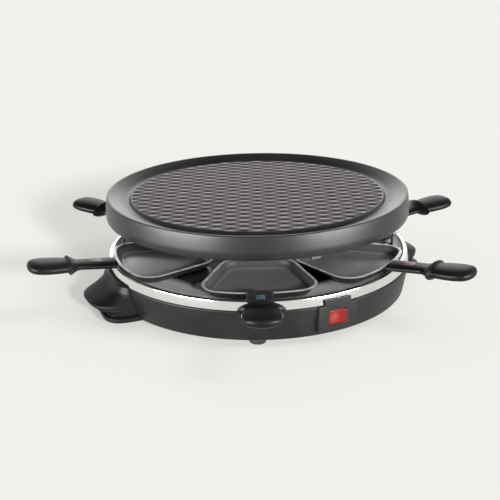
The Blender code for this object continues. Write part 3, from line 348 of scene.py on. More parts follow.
def soften(data: bpy.types.Mesh, smooth: float) -> None:
    """Shade a mesh smooth, with the edges above an angle in degrees kept sharp."""
    data.shade_smooth()
    data.set_sharp_from_angle(angle=math.radians(smooth))


def stand(name: str, data: bpy.types.ID, place: Matrix) -> Piece:
    """Put a mesh, a lamp or a camera into the scene.

    Args:
        name: name of the object.
        data: the mesh, lamp or camera.
        place: where it stands.

    Returns:
        The object.
    """
    item = bpy.data.objects.new(name, data)
    bpy.context.scene.collection.objects.link(item)
    item.matrix_world = place
    return item


def carve(item: Piece, tool: Form, operation: str = "DIFFERENCE",
          smooth: float = 40) -> None:
    """Cut a form out of an object, or join it on, for good.

    Args:
        item: the object, wherever it stands.
        tool: the form, in the object's own space.
        operation: the kind of Boolean.
        smooth: edges sharper than this angle in degrees stay sharp.
    """
    other = tool.object(item.name + "_tool")
    step = item.modifiers.new("carve", "BOOLEAN")
    step.operation, step.solver, step.object = operation, "EXACT", other
    place = item.matrix_world.copy()
    item.matrix_world = IDENTITY
    bpy.context.view_layer.update()
    graph = bpy.context.evaluated_depsgraph_get()
    data = bpy.data.meshes.new_from_object(item.evaluated_get(graph))
    item.modifiers.clear()
    old, item.data = item.data, data
    bpy.data.meshes.remove(old)
    leftover = other.data
    bpy.data.objects.remove(other)
    bpy.data.meshes.remove(leftover)
    soften(data, smooth)
    item.matrix_world = place


# Shader maths


class Signal:
    """A number that varies over a surface; expressions on it add Math nodes."""

    def __init__(self, graph: "Graph", socket: Socket) -> None:
        """Wrap an output socket of a graph."""
        self.graph = graph
        self.socket = socket

    def math(self, operation: str, *others: Number) -> "Signal":
        """Result of a Math node on this signal and others."""
        return self.graph.math(operation, self, *others)

    def __add__(self, other: Number) -> "Signal":
        """Sum."""
        return self.math("ADD", other)

    __radd__ = __add__

    def __sub__(self, other: Number) -> "Signal":
        """Difference."""
        return self.math("SUBTRACT", other)

    def __rsub__(self, other: Number) -> "Signal":
        """Difference, with the number first."""
        return self.graph.math("SUBTRACT", other, self)

    def __mul__(self, other: Number) -> "Signal":
        """Product."""
        return self.math("MULTIPLY", other)

    __rmul__ = __mul__

    def __pow__(self, other: Number) -> "Signal":
        """Power."""
        return self.math("POWER", other)

    def __neg__(self) -> "Signal":
        """Negative."""
        return self * -1.0

    def step(self, low: float, high: float) -> "Signal":
        """Smooth step from 0 at low to 1 at high.

        Args:
            low: where it starts to rise.
            high: where it has risen.

        Returns:
            The smooth step.
        """
        node = self.graph.node("ShaderNodeMapRange", {"interpolation_type": "SMOOTHSTEP"},
                               {"Value": self, "From Min": low, "From Max": high})
        return Signal(self.graph, node.outputs["Result"])


class Graph:
    """The node tree of one material, or of the world."""

    def __init__(self, name: str, world: bool = False) -> None:
        """Start a material or a world with only its output.

        Args:
            name: its name.
            world: whether it is a world.
        """
        self.material = (bpy.data.worlds if world else bpy.data.materials).new(name)
        self.material.use_nodes = True
        self.tree = self.material.node_tree
        self.tree.nodes.clear()
        self.output = self.node(f"ShaderNodeOutput{'World' if world else 'Material'}")

    def node(self, kind: str, settings: Optional[Dict[str, Any]] = None,
             inputs: Optional[Dict[Union[str, int], Any]] = None) -> bpy.types.Node:
        """Add a node.

        Args:
            kind: its type.
            settings: its properties, set first; "stops" are those of a ramp.
            inputs: values or links of its sockets, by name or number.

        Returns:
            The node.
        """
        node = self.tree.nodes.new(kind)
        for key, value in (settings or {}).items():
            if key == "stops":
                elements = node.color_ramp.elements
                while len(elements) < len(value):
                    elements.new(0.5)
                for element, (place, colour) in zip(elements, value):
                    element.position = place
                    element.color = (*colour, 1.0)
            else:
                setattr(node, key, value)
        for key, value in (inputs or {}).items():
            socket = node.inputs[key]
            if isinstance(value, Signal):
                self.tree.links.new(value.socket, socket)
            elif isinstance(value, Socket):
                self.tree.links.new(value, socket)
            elif isinstance(value, tuple) and len(value) == 3 and socket.type == "RGBA":
                socket.default_value = (*value, 1.0)
            else:
                socket.default_value = value
        return node

    def math(self, operation: str, *values: Number) -> Signal:
        """Math node on signals and numbers."""
        node = self.node("ShaderNodeMath", {"operation": operation}, dict(enumerate(values)))
        return Signal(self, node.outputs[0])

    def point(self) -> Socket:
        """Place on the object, in metres."""
        return self.node("ShaderNodeTexCoord").outputs["Object"]

    def split(self, vector: Socket) -> Tuple[Signal, Signal, Signal]:
        """X, Y and Z of a vector."""
        parts = self.node("ShaderNodeSeparateXYZ", None, {"Vector": vector})
        return tuple(Signal(self, parts.outputs[k]) for k in range(3))

    def turned_point(self, degrees: float) -> Tuple[Signal, Signal, Signal]:
        """Place on the object, turned about Z, as three signals.

        Args:
            degrees: the turn in degrees.

        Returns:
            X, Y and Z.
        """
        node = self.node("ShaderNodeVectorRotate", {"rotation_type": "Z_AXIS"},
                         {"Vector": self.point(), "Angle": math.radians(degrees)})
        return self.split(node.outputs[0])

    def facing_up(self) -> Signal:
        """How far the surface faces up, from -1 to 1."""
        return self.split(self.node("ShaderNodeTexCoord").outputs["Normal"])[2]

    def away(self) -> Signal:
        """Distance from the object's Z axis, in metres."""
        x, y, _ = self.split(self.point())
        return (x * x + y * y) ** 0.5

    def noise(self, pattern: "Pattern", stretch: Triple = (1.0, 1.0, 1.0)) -> Signal:
        """Noise over the object, sharpened between its pattern's levels if it has them.

        Args:
            pattern: the kind of noise.
            stretch: scale of the place along X, Y and Z.

        Returns:
            The noise, from 0 to 1.
        """
        mapped = self.node("ShaderNodeMapping", {"vector_type": "POINT"},
                           {"Vector": self.point(), "Scale": stretch})
        node = self.node("ShaderNodeTexNoise", None,
                         {"Vector": mapped.outputs[0], "Scale": pattern.scale,
                          "Detail": pattern.detail, "Roughness": pattern.roughness})
        signal = Signal(self, node.outputs["Fac"])
        return signal.step(*pattern.levels) if pattern.levels else signal

    def mix(self, factor: Number, first: Any, second: Any) -> Socket:
        """Mix two colours."""
        node = self.node("ShaderNodeMix", {"data_type": "RGBA"}, {0: factor, 6: first, 7: second})
        return node.outputs[2]

    def bump(self, height: Signal, distance: float, normal: Optional[Socket] = None) -> Socket:
        """Normal bent by a height of a given size in metres.

        Args:
            height: the height, as a share of the distance.
            distance: the full height in metres.
            normal: the normal that is bent, if not the surface's own.

        Returns:
            The normal.
        """
        inputs: Dict[Union[str, int], Any] = {"Height": height, "Distance": distance,
                                              "Strength": 1.0}
        if normal is not None:
            inputs["Normal"] = normal
        return self.node("ShaderNodeBump", None, inputs).outputs[0]

    def show(self, shader: bpy.types.Node) -> bpy.types.ID:
        """Link a shader to the output and give the material or world."""
        self.tree.links.new(shader.outputs[0], self.output.inputs["Surface"])
        return self.material

    def seen(self) -> Signal:
        """1 for what the camera and reflections see, 0 for what lights other things.

        Returns:
            The signal.
        """
        path = self.node("ShaderNodeLightPath")
        camera, glossy, through = [Signal(self, path.outputs[f"Is {kind} Ray"])
                                   for kind in ("Camera", "Glossy", "Transmission")]
        return camera.math("MAXIMUM", glossy).math("MAXIMUM", through)

    def surface(self, **inputs: Any) -> Material:
        """Finish with one Principled shader.

        Args:
            inputs: its sockets by name, with underscores for spaces.

        Returns:
            The material.
        """
        named = {key.replace("_", " "): value for key, value in inputs.items()}
        return self.show(self.node("ShaderNodeBsdfPrincipled", None, named))


# Finishes


class Pattern(NamedTuple):
    """Noise, by its waves per metre, octaves, roughness and the levels of its edges."""

    scale: float
    detail: float = 2.0
    roughness: float = 0.5
    levels: Optional[Pair] = None


class Moulding(Enum):
    """Grain of a plastic moulding, and how deep it is."""

    GRAINED = (Pattern(1400.0, 2.0, 0.6), 0.00006)
    SATIN = (Pattern(2600.0, 2.0, 0.6), 0.00002)


@dataclass(frozen=True)
class Finish:
    """A material with one Principled shader."""

    name: str

    def build(self) -> Material:
        """Make the material."""
        g = Graph(self.name)
        return g.surface(**self.inputs(g))

    def inputs(self, g: Graph) -> Dict[str, Any]:
        """Inputs of the shader, by name with underscores for spaces."""
        raise NotImplementedError


@dataclass(frozen=True)
class Plastic(Finish):
    """Moulded plastic with grain, slight cloudiness and handling marks."""

    colour: Colour
    roughness: float = 0.42
    moulding: Moulding = Moulding.GRAINED
    index: float = 1.34
    clouds: Pattern = Pattern(28, 3.0, 0.55)
    blotches: Pattern = Pattern(120, 4.0, 0.7, (0.52, 0.72))
    shade: float = 0.72
    tint: float = 1.3
    haze: float = 0.004
    cloud_dulling: float = 0.12
    rub_dulling: float = 0.06

    def inputs(self, g: Graph) -> Dict[str, Any]:
        """Grain everywhere, lighter clouds, and a duller look where it is handled.

        Args:
            g: the graph of the material.

        Returns:
            Inputs of the shader, by name.
        """
        grain, depth = self.moulding.value
        cloud, rub = g.noise(self.clouds), g.noise(self.blotches)
        dark = tuple(c * self.shade for c in self.colour)
        light = tuple(min(c * self.tint + self.haze, 1.0) for c in self.colour)
        colour = g.mix(cloud.step(*CLOUD_EDGES), dark, light)
        roughness = (self.roughness + (cloud - MEAN_NOISE) * self.cloud_dulling
                     + rub * self.rub_dulling)
        return {"Base_Color": colour, "Roughness": roughness, "IOR": self.index,
                "Normal": g.bump(g.noise(grain), depth)}


@dataclass(frozen=True)
class Sheet(Finish):
    """Bare metal sheet with fine turning or rolling lines and smears."""

    colour: Colour
    roughness: float = 0.12
    line_scale: float = 900.0
    line_depth: float = 0.000002
    smear: float = 0.08
    round_lines: bool = False
    breaks: Pattern = Pattern(300)
    smears: Pattern = Pattern(24, 4.0, 0.6, (0.35, 0.75))
    specks: Pattern = Pattern(260, 3.0, 0.7, (0.62, 0.8))
    stretch: Triple = (1.0, 0.03, 0.03)
    tired_shade: float = 0.86
    smear_share: float = 0.6
    speck_share: float = 0.3
    speck_dulling: float = 0.06

    def inputs(self, g: Graph) -> Dict[str, Any]:
        """Lines in the normal; smears and specks that darken and dull.

        Args:
            g: the graph of the material.

        Returns:
            Inputs of the shader, by name.
        """
        if self.round_lines:
            lines = (g.away() * (self.line_scale * math.tau)).math("SINE")
            lines = lines * g.noise(self.breaks)
        else:
            lines = g.noise(Pattern(self.line_scale, 2.0, 0.6), self.stretch)
        smears, specks = g.noise(self.smears), g.noise(self.specks)
        tired = tuple(c * self.tired_shade for c in self.colour)
        wear = smears * self.smear_share + specks * self.speck_share
        colour = g.mix(wear, self.colour, tired)
        roughness = self.roughness + smears * self.smear + specks * self.speck_dulling
        return {"Base_Color": colour, "Roughness": roughness, "Metallic": self.polish(g),
                "Normal": self.normal(g, lines)}

    def polish(self, g: Graph) -> Number:
        """How far the metal shines as a mirror rather than as a dull sheet."""
        return 1.0

    def normal(self, g: Graph, lines: Signal) -> Socket:
        """Normal of the sheet, bent by its lines."""
        return g.bump(lines, self.line_depth)


@dataclass(frozen=True)
class DishedSheet(Sheet):
    """Polished sheet whose floor is dished up a little towards its lip."""

    start: float = 0.112
    end: float = DISH_FLOOR_RADIUS
    slope: float = 0.16
    lip: float = 0.1475
    fade: float = 0.014
    blur: float = 0.001
    dull: float = 0.9

    def polish(self, g: Graph) -> Number:
        """Mirror in the middle and on the band, duller just inside the lip.

        Args:
            g: the graph of the material.

        Returns:
            1 where it is a mirror, less where it is dull.
        """
        away = g.away()
        outside = away.step(self.lip - self.blur, self.lip + self.blur)
        ring = away.step(self.start, self.start + self.fade) * (1.0 - outside)
        return 1.0 - ring * self.dull

    def normal(self, g: Graph, lines: Signal) -> Socket:
        """Normal of the sheet, bent by its lines and its dishing.

        Args:
            g: the graph of the material.
            lines: the turning lines.

        Returns:
            The normal.
        """
        width = self.end - self.start
        away = (g.away() - self.start).math("MAXIMUM", 0.0).math("MINIMUM", width)
        rise = away * away * (self.slope / 2 / width)
        return g.bump(lines, self.line_depth, normal=g.bump(rise, 1.0))


@dataclass(frozen=True)
class Coating(Finish):
    """Dark non-stick coating on metal, with fine pitting and worn spots."""

    colour: Colour = (0.0065, 0.0062, 0.0062)
    worn: Colour = (0.020, 0.0188, 0.0184)
    roughness: float = 0.40
    coat: float = 0.0
    index: float = 1.42
    pits: Pattern = Pattern(1500, 2.0, 0.55)
    clouds: Pattern = Pattern(22, 4.0, 0.6)
    spots: Pattern = Pattern(75, 5.0, 0.7, (0.6, 0.78))
    pit_depth: float = 0.00003
    coat_roughness: float = 0.25
    cloud_share: float = 0.5
    cloud_dulling: float = 0.10
    worn_share: float = 0.25
    worn_dulling: float = 0.05

    def inputs(self, g: Graph) -> Dict[str, Any]:
        """Pits in the normal, and clouds and worn spots, which are lighter and duller.

        Args:
            g: the graph of the material.

        Returns:
            Inputs of the shader, by name.
        """
        pits, cloud, worn = [g.noise(p) for p in (self.pits, self.clouds, self.spots)]
        wear = cloud.step(*CLOUD_EDGES) * self.cloud_share + worn * self.worn_share
        roughness = (self.roughness + (cloud - MEAN_NOISE) * self.cloud_dulling
                     + worn * self.worn_dulling)
        return {"Base_Color": g.mix(wear, self.colour, self.worn), "Roughness": roughness,
                "Coat_Weight": self.coat, "Coat_Roughness": self.coat_roughness,
                "IOR": self.index, "Normal": g.bump(pits, self.pit_depth)}


@dataclass(frozen=True)
class PanCoating(Coating):
    """Coating of a pan, with a painted highlight along the top of its rim and painted shade on
    its walls.
    """

    rim: float = PAN_BOTTOM + PAN_HEIGHT
    # Painted highlight colour for the top of the rim.
    rim_highlight: Colour = (0.75, 0.74, 0.73)
    outside: Colour = (0.012, 0.012, 0.012)
    # Painted shade colour for the walls.
    wall: Colour = (0.075, 0.072, 0.070)
    blotches: Pattern = Pattern(140, 3.0, 0.6, (0.35, 0.6))
    rim_band: Pair = (-0.0006, -0.0001)
    rim_facing: Pair = (0.1, 0.5)
    floor_facing: Pair = (0.78, 0.98)
    wall_facing: Pair = (-0.15, 0.2)
    least_highlight: float = 0.45
    highlight_strength: float = 0.9
    shine: float = 0.2

    def inputs(self, g: Graph) -> Dict[str, Any]:
        """Walls darker as painted shade, a dark coating on the underside, and a painted highlight
        on top of the rim, made metallic there.

        Args:
            g: the graph of the material.

        Returns:
            Inputs of the shader, by name.
        """
        made = super().inputs(g)
        z = g.split(g.point())[2]
        up = g.facing_up()
        low, high = [self.rim + end for end in self.rim_band]
        # A band on top of the rim gets a painted highlight, and faces that do not face up get
        # painted shade.
        edge = z.step(low, high) * up.step(*self.rim_facing)
        painted_highlight = edge * (self.least_highlight + (1.0 - self.least_highlight) * g.noise(self.blotches))
        coated = g.mix(up.step(*self.floor_facing), self.wall, made["Base_Color"])
        coated = g.mix(up.step(*self.wall_facing), self.outside, coated)
        made["Base_Color"] = g.mix(painted_highlight * self.highlight_strength, coated, self.rim_highlight)
        made["Metallic"] = painted_highlight * self.shine
        return made


@dataclass(frozen=True)
class GridCoating(Coating):
    """Coating of the grill plate, with a painted highlight on top of its lozenges and painted
    shade in its pits.
    """

    turn: float = -LOZENGE_TURN
    length: float = LOZENGE_LENGTH
    pitch: float = LOZENGE_PITCH
    radius: float = GRID_RADIUS
    floor: float = 0.0995
    blur: float = 0.001
    # Painted light on the grid: a painted highlight colour for the tops, a lighter painted tone
    # for the slopes, and a painted shade colour for the pits.
    top: Colour = (0.410, 0.380, 0.370)
    slope: Colour = (0.097, 0.0895, 0.087)
    pit_shade: Colour = (0.008, 0.0075, 0.0073)
    # Noise that varies the strength of the painted highlight on the tops.
    blotches: Pattern = Pattern(90, 4.0, 0.6)
    highlight_spread: float = 0.8
    least_highlight: float = 0.4
    crest: Pair = (0.0, 0.9)
    grid_dulling: float = 0.12
    pit_dulling: float = 0.15

    def inputs(self, g: Graph) -> Dict[str, Any]:
        """Painted highlights on the tops, painted shade in the pits, and a clear coat only
        outside the grid.

        Args:
            g: the graph of the material.

        Returns:
            Inputs of the shader, by name.
        """
        made = super().inputs(g)
        x, y, z = g.turned_point(self.turn)
        wave = ((x * (math.pi / self.length)).math("COSINE")
                * (y * (math.pi / self.pitch)).math("COSINE"))
        inside = 1.0 - g.away().step(self.radius - self.blur, self.radius + self.blur)
        mask = inside * z.step(self.floor, self.floor + self.blur / 2)
        # Tops get the painted highlight and pits get the painted shade, following the lozenge
        # wave.
        tops = wave.step(*self.crest) * mask
        pits = (-wave).step(*self.crest) * mask
        colour = g.mix(mask, made["Base_Color"], self.slope)
        painted_highlight = tops * (g.noise(self.blotches) * self.highlight_spread + self.least_highlight)
        colour = g.mix(painted_highlight, colour, self.top)
        made["Base_Color"] = g.mix(pits, colour, self.pit_shade)
        made["Roughness"] += mask * self.grid_dulling + pits * self.pit_dulling
        made["Coat_Weight"] = (1.0 - mask) * self.coat
        made["Coat_Roughness"] = self.roughness
        return made


@dataclass(frozen=True)
class Rubber(Finish):
    """Matt rubber with a dusty bloom."""

    name: str = "foot_rubber"
    colour: Colour = (0.012, 0.012, 0.012)
    dust: Colour = (0.05, 0.048, 0.045)
    patches: Pattern = Pattern(160, 4.0, 0.7, (0.45, 0.8))
    grain: Pattern = Pattern(1800)
    grain_depth: float = 0.00004
    roughness: float = 0.72
    dust_dulling: float = 0.15

    def inputs(self, g: Graph) -> Dict[str, Any]:
        """Dust that lightens and dulls, over a fine grain.

        Args:
            g: the graph of the material.

        Returns:
            Inputs of the shader, by name.
        """
        dust = g.noise(self.patches)
        return {"Base_Color": g.mix(dust, self.colour, self.dust),
                "Roughness": self.roughness + dust * self.dust_dulling,
                "Normal": g.bump(g.noise(self.grain), self.grain_depth)}


@dataclass(frozen=True)
class Lens(Finish):
    """Clear coloured plastic with a lamp behind it."""

    name: str = "rocker_lens"
    colour: Colour = (0.14, 0.005, 0.008)
    glow: Colour = (0.55, 0.15, 0.075)
    dim: Colour = (0.22, 0.014, 0.016)
    centre: float = -0.0035
    reach: float = 0.0070
    rib: float = 0.0011
    rib_depth: float = 0.00003
    scuffs: Pattern = Pattern(400)
    roughness: float = 0.16
    scuff_dulling: float = 0.1
    squash: float = 0.9
    core: float = 0.1
    strength: float = 0.55
    index: float = 1.36

    def inputs(self, g: Graph) -> Dict[str, Any]:
        """Ribs in the normal, and a glow round where the lamp is.

        Args:
            g: the graph of the material.

        Returns:
            Inputs of the shader, by name.
        """
        x, _, z = g.split(g.point())
        away = ((x - self.centre) ** 2.0 + (z * self.squash) ** 2.0) ** 0.5
        near = 1.0 - away.step(self.reach * self.core, self.reach)
        ribs = (x * (math.tau / self.rib)).math("SINE")
        return {"Base_Color": self.colour,
                "Roughness": self.roughness + g.noise(self.scuffs) * self.scuff_dulling,
                "Emission_Color": g.mix(near, self.dim, self.glow),
                "Emission_Strength": self.strength, "IOR": self.index,
                "Normal": g.bump(ribs, self.rib_depth)}


@dataclass(frozen=True)
class Ceramic(Finish):
    """Pale fired ceramic with specks and a dull glaze."""

    name: str = "element_ceramic"
    colour: Colour = (0.78, 0.75, 0.68)
    stain: Colour = (0.5, 0.45, 0.38)
    specks: Pattern = Pattern(900, 2.0, 0.6, (0.62, 0.7))
    stains: Pattern = Pattern(40, levels=(0.4, 0.7))
    glaze: Pattern = Pattern(700)
    glaze_depth: float = 0.00003
    roughness: float = 0.42
    speck_share: float = 0.5
    speck_dulling: float = 0.1
    stain_share: float = 0.3

    def inputs(self, g: Graph) -> Dict[str, Any]:
        """Specks and faint stains, over an uneven glaze.

        Args:
            g: the graph of the material.

        Returns:
            Inputs of the shader, by name.
        """
        specks, stains = g.noise(self.specks), g.noise(self.stains)
        marks = specks * self.speck_share + stains * self.stain_share
        return {"Base_Color": g.mix(marks, self.colour, self.stain),
                "Roughness": self.roughness + specks * self.speck_dulling,
                "Normal": g.bump(g.noise(self.glaze), self.glaze_depth)}


@dataclass(frozen=True)
class Sheath(Finish):
    """Sheath of the element, browned and blued by heat."""

    name: str = "element_sheath"
    tints: Tuple[Tuple[float, Colour], ...] = (
        (0.3, (0.07, 0.045, 0.035)), (0.5, (0.16, 0.10, 0.07)), (0.7, (0.10, 0.09, 0.10)))
    patches: Pattern = Pattern(60, 4.0, 0.6)
    scale: Pattern = Pattern(700, 3.0, 0.7)
    scale_depth: float = 0.00005
    scale_dulling: float = 0.25
    roughness: float = 0.42
    metal: float = 0.7

    def inputs(self, g: Graph) -> Dict[str, Any]:
        """Tints of heated steel under a thin scale.

        Args:
            g: the graph of the material.

        Returns:
            Inputs of the shader, by name.
        """
        ramp = g.node("ShaderNodeValToRGB", {"stops": self.tints},
                      {"Fac": g.noise(self.patches)})
        scale = g.noise(self.scale)
        return {"Base_Color": ramp.outputs[0],
                "Roughness": self.roughness + scale * self.scale_dulling,
                "Metallic": self.metal, "Normal": g.bump(scale, self.scale_depth)}


class MarkerColour(Enum):
    """Colours of the markers that tell the pans apart."""

    TEAL = (0.045, 0.130, 0.145)
    RED = (0.150, 0.012, 0.022)
    OLIVE = (0.060, 0.062, 0.022)
    BLUE = (0.030, 0.085, 0.260)
    ORANGE = (0.420, 0.130, 0.020)
    WHITE = (0.600, 0.600, 0.570)


class Finishes:
    """All the materials, made once."""

    def __init__(self) -> None:
        """Build each finish."""
        self.base = Plastic("base_moulding", (0.009, 0.009, 0.0093), roughness=0.46).build()
        self.grip = Plastic("grip_moulding", (0.005, 0.005, 0.0053), moulding=Moulding.SATIN,
                            index=1.24).build()
        self.steel = DishedSheet("dish_steel", (0.74, 0.74, 0.735), roughness=0.09,
                                 line_scale=700, line_depth=0.0000008, smear=0.03,
                                 round_lines=True).build()
        self.grid = GridCoating("plate_coating", coat=0.62, index=1.18).build()
        self.pan = PanCoating("pan_coating", (0.18, 0.175, 0.17), (0.25, 0.245, 0.24),
                              roughness=0.30, coat=0.4).build()
        self.strap, self.clip, self.zinc, self.aluminium = [
            Sheet(name, colour, roughness, line_scale, line_depth, smear=0.1).build()
            for name, colour, roughness, line_scale, line_depth in (
                ("strap_steel", (0.10, 0.095, 0.09), 0.38, 900, 0.00001),
                ("tarnished_zinc", (0.10, 0.095, 0.09), 0.42, 1200, 0.000004),
                ("zinc_plate", (0.62, 0.62, 0.60), 0.3, 1200, 0.000004),
                ("aluminium_sheet", (0.72, 0.72, 0.73), 0.35, 900, 0.000006))]
        self.sheath = Sheath().build()
        self.ceramic = Ceramic().build()
        self.rubber = Rubber().build()
        self.lens = Lens().build()
        self.neon = Plastic("neon_glass", (0.9, 0.45, 0.25), roughness=0.08,
                            moulding=Moulding.SATIN).build()
        self.markers = {colour: Plastic(f"marker_{colour.name.lower()}", colour.value,
                                        roughness=0.35, moulding=Moulding.SATIN).build()
                        for colour in MarkerColour}
        self.wires = {name: Plastic(f"wire_{name}", colour, roughness=0.4,
                                    moulding=Moulding.SATIN).build()
                      for name, colour in (("brown", (0.14, 0.05, 0.02)),
                                           ("black", (0.015, 0.015, 0.015)),
                                           ("blue", (0.02, 0.07, 0.28)))}


def dress(item: Piece, material: Material) -> None:
    """Give an object one material."""
    item.data.materials.clear()
    item.data.materials.append(material)


def plant(item: Piece) -> Piece:
    """Move a piece's place into its mesh, so that its bounds are tight.

    Args:
        item: the piece.

    Returns:
        The same piece.
    """
    item.data.transform(item.matrix_world)
    item.matrix_world = IDENTITY
    return item


def settle(item: Piece, material: Material, body: str, node: str) -> None:
    """Dress a piece, let it ride on its body and hide the node it stands for.

    Args:
        item: the piece, in place.
        material: its material.
        body: the body it moves with.
        node: the node it stands for.
    """
    dress(item, material)
    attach(item, body)
    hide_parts(node)
    log.info("%s rides on %s, %d faces", item.name, body, len(item.data.polygons))


def dress_nodes(material: Material, *names: str) -> None:
    """Give nodes of the frame a material; their shape stays.

    Args:
        material: the material.
        names: names of the nodes.
    """
    for name in names:
        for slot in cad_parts[name].material_slots:
            slot.material = material
        log.info("%s keeps its shape", name)


def numbered(name: str, count: int) -> List[str]:
    """Names of nodes that differ in their number alone."""
    return [f"{name}_{number}" for number in range(1, count + 1)]


# Sub-assemblies


@dataclass
class GrillPlate:
    """Cast plate with a lozenge grid, a channel, a rim and a skirt."""

    top: float = 0.106
    radius: float = 0.15
    height: float = 0.0223
    flare: float = 0.0016
    wall: float = 0.0035
    grid_radius: float = GRID_RADIUS
    grid_top: float = 0.003
    relief: float = 0.0010
    floor_depth: float = 0.0062
    thickness: float = 0.0042
    slope_radius: float = 0.1405
    crest_radius: float = 0.1473
    length: float = LOZENGE_LENGTH
    pitch: float = LOZENGE_PITCH
    turn: float = LOZENGE_TURN
    sharpness: float = 0.8
    fade: float = 0.0015
    margin: float = 0.0007
    lip: float = 0.0012
    lip_drop: float = 0.0004
    lip_round: float = 0.0005
    channel_start: float = 0.0030
    channel_end: float = 0.0085
    channel_rounds: Pair = (0.0012, 0.012)
    slope_rise: float = 0.0004
    slope_round: float = 0.02
    rim_rounds: Pair = (0.0012, 0.0011)
    flare_share: float = 0.70
    flare_round: float = 0.02
    skirt_tuck: float = 0.0008
    skirt_round: float = 0.0026
    skirt_inner_rounds: Pair = (0.0008, 0.003)
    facets: Tuple[int, int] = (6, 5)
    segments: int = 180

    @property
    def middle(self) -> float:
        """Height halfway between the tops and the pits of the grid."""
        return self.top - self.grid_top - self.relief / 2

    def relief_at(self, x: float, y: float) -> float:
        """Height of the grid at a point.

        Args:
            x: place of the point along X.
            y: its place along Y.

        Returns:
            The height.
        """
        angle = math.radians(-self.turn)
        across = x * math.cos(angle) - y * math.sin(angle)
        along = x * math.sin(angle) + y * math.cos(angle)
        wave = math.cos(math.pi * across / self.length) * math.cos(math.pi * along / self.pitch)
        edge = min(max((self.grid_radius - math.hypot(x, y)) / self.fade, 0.0), 1.0)
        return self.middle + bulge(wave, self.sharpness) * self.relief / 2 * edge

    def build(self, finishes: Finishes) -> None:
        """Build and dress the plate.

        Args:
            finishes: the materials.
        """
        top, outer = self.top, self.radius
        widest, inner = outer + self.flare, outer - self.wall
        floor, bottom = top - self.floor_depth, top - self.height
        under = floor - self.thickness
        profile = rounded([
            (self.grid_radius, self.middle, 0),
            (self.grid_radius + self.lip, self.middle - self.lip_drop, self.lip_round),
            (self.grid_radius + self.channel_start, floor, self.channel_rounds[0]),
            (self.grid_radius + self.channel_end, floor, self.channel_rounds[1]),
            (self.slope_radius, (floor + top) / 2 + self.slope_rise, self.slope_round),
            (self.crest_radius, top, self.rim_rounds[0]),
            (outer, top, self.rim_rounds[1]),
            (widest, top - self.height * self.flare_share, self.flare_round),
            (widest - self.skirt_tuck, bottom, self.skirt_round),
            (inner, bottom, self.skirt_inner_rounds[0]),
            (inner, under, self.skirt_inner_rounds[1]),
            (0, under, 0),
        ], steps=5, closed=False)
        form = Form().lathe(profile[:-1], self.segments, closed=False)
        corners = list(form.mesh.verts)
        form.mesh.faces.new(corners[-self.segments:])
        points: List[Pair] = []
        turn = Matrix.Rotation(math.radians(self.turn), 2)
        across, along = self.length / self.facets[0], self.pitch / self.facets[1]
        limit = self.grid_radius - self.margin
        wide, deep = int(limit / across), int(limit / along)
        for i in range(-wide, wide + 1):
            for j in range(-deep, deep + 1):
                if math.hypot(i * across, j * along) < limit:
                    points.append(tuple(turn @ Vector((i * across, j * along))))
        form.sheet(corners[:self.segments], points, self.relief_at)
        item = form.object("grill_plate_casting", smooth=50)
        settle(item, finishes.grid, "plate", "grill_plate")


@dataclass
class Dish:
    """Polished dish with its rolled edge and outer band."""

    foot: float = 0.0378
    top: float = 0.0467
    floor: float = 0.0434
    sheet: float = 0.001
    floor_radius: float = DISH_FLOOR_RADIUS
    rise_radius: float = 0.1425
    rolled: float = 0.0032
    band_foot_radius: float = 0.1523
    band_top_radius: float = 0.1511
    floor_round: float = 0.02
    rise: float = 0.0007
    rise_round: float = 0.01
    heel: float = 0.0026
    heel_rise: float = 0.0016
    heel_round: float = 0.006
    edge_rounds: Pair = (0.0022, 0.0016)
    edge_inner_rounds: Pair = (0.0006, 0.0012)
    under_reach: float = 0.0066
    under_round: float = 0.007
    segments: int = 180

    def build(self, finishes: Finishes) -> None:
        """Build and dress the dish.

        Args:
            finishes: the materials.
        """
        lip = self.band_top_radius - self.rolled
        under = self.floor - self.sheet
        profile = rounded([
            (0, self.floor, 0),
            (self.floor_radius, self.floor, self.floor_round),
            (self.rise_radius, self.floor + self.rise, self.rise_round),
            (lip - self.heel, self.floor + self.heel_rise, self.heel_round),
            (lip, self.top, self.edge_rounds[0]),
            (self.band_top_radius, self.top, self.edge_rounds[1]),
            (self.band_foot_radius, self.foot, 0),
            (self.band_foot_radius - self.sheet, self.foot, 0),
            (self.band_top_radius - self.sheet, self.top - self.sheet, self.edge_inner_rounds[0]),
            (lip + self.sheet / 2, self.top - self.sheet, self.edge_inner_rounds[1]),
            (lip - self.under_reach, under, self.under_round),
            (0, under, 0),
        ], steps=6, closed=False)
        form = Form().lathe(profile, self.segments, closed=False)
        item = form.object("dish_pressing", smooth=50)
        settle(item, finishes.steel, "grill", "reflector_dish")


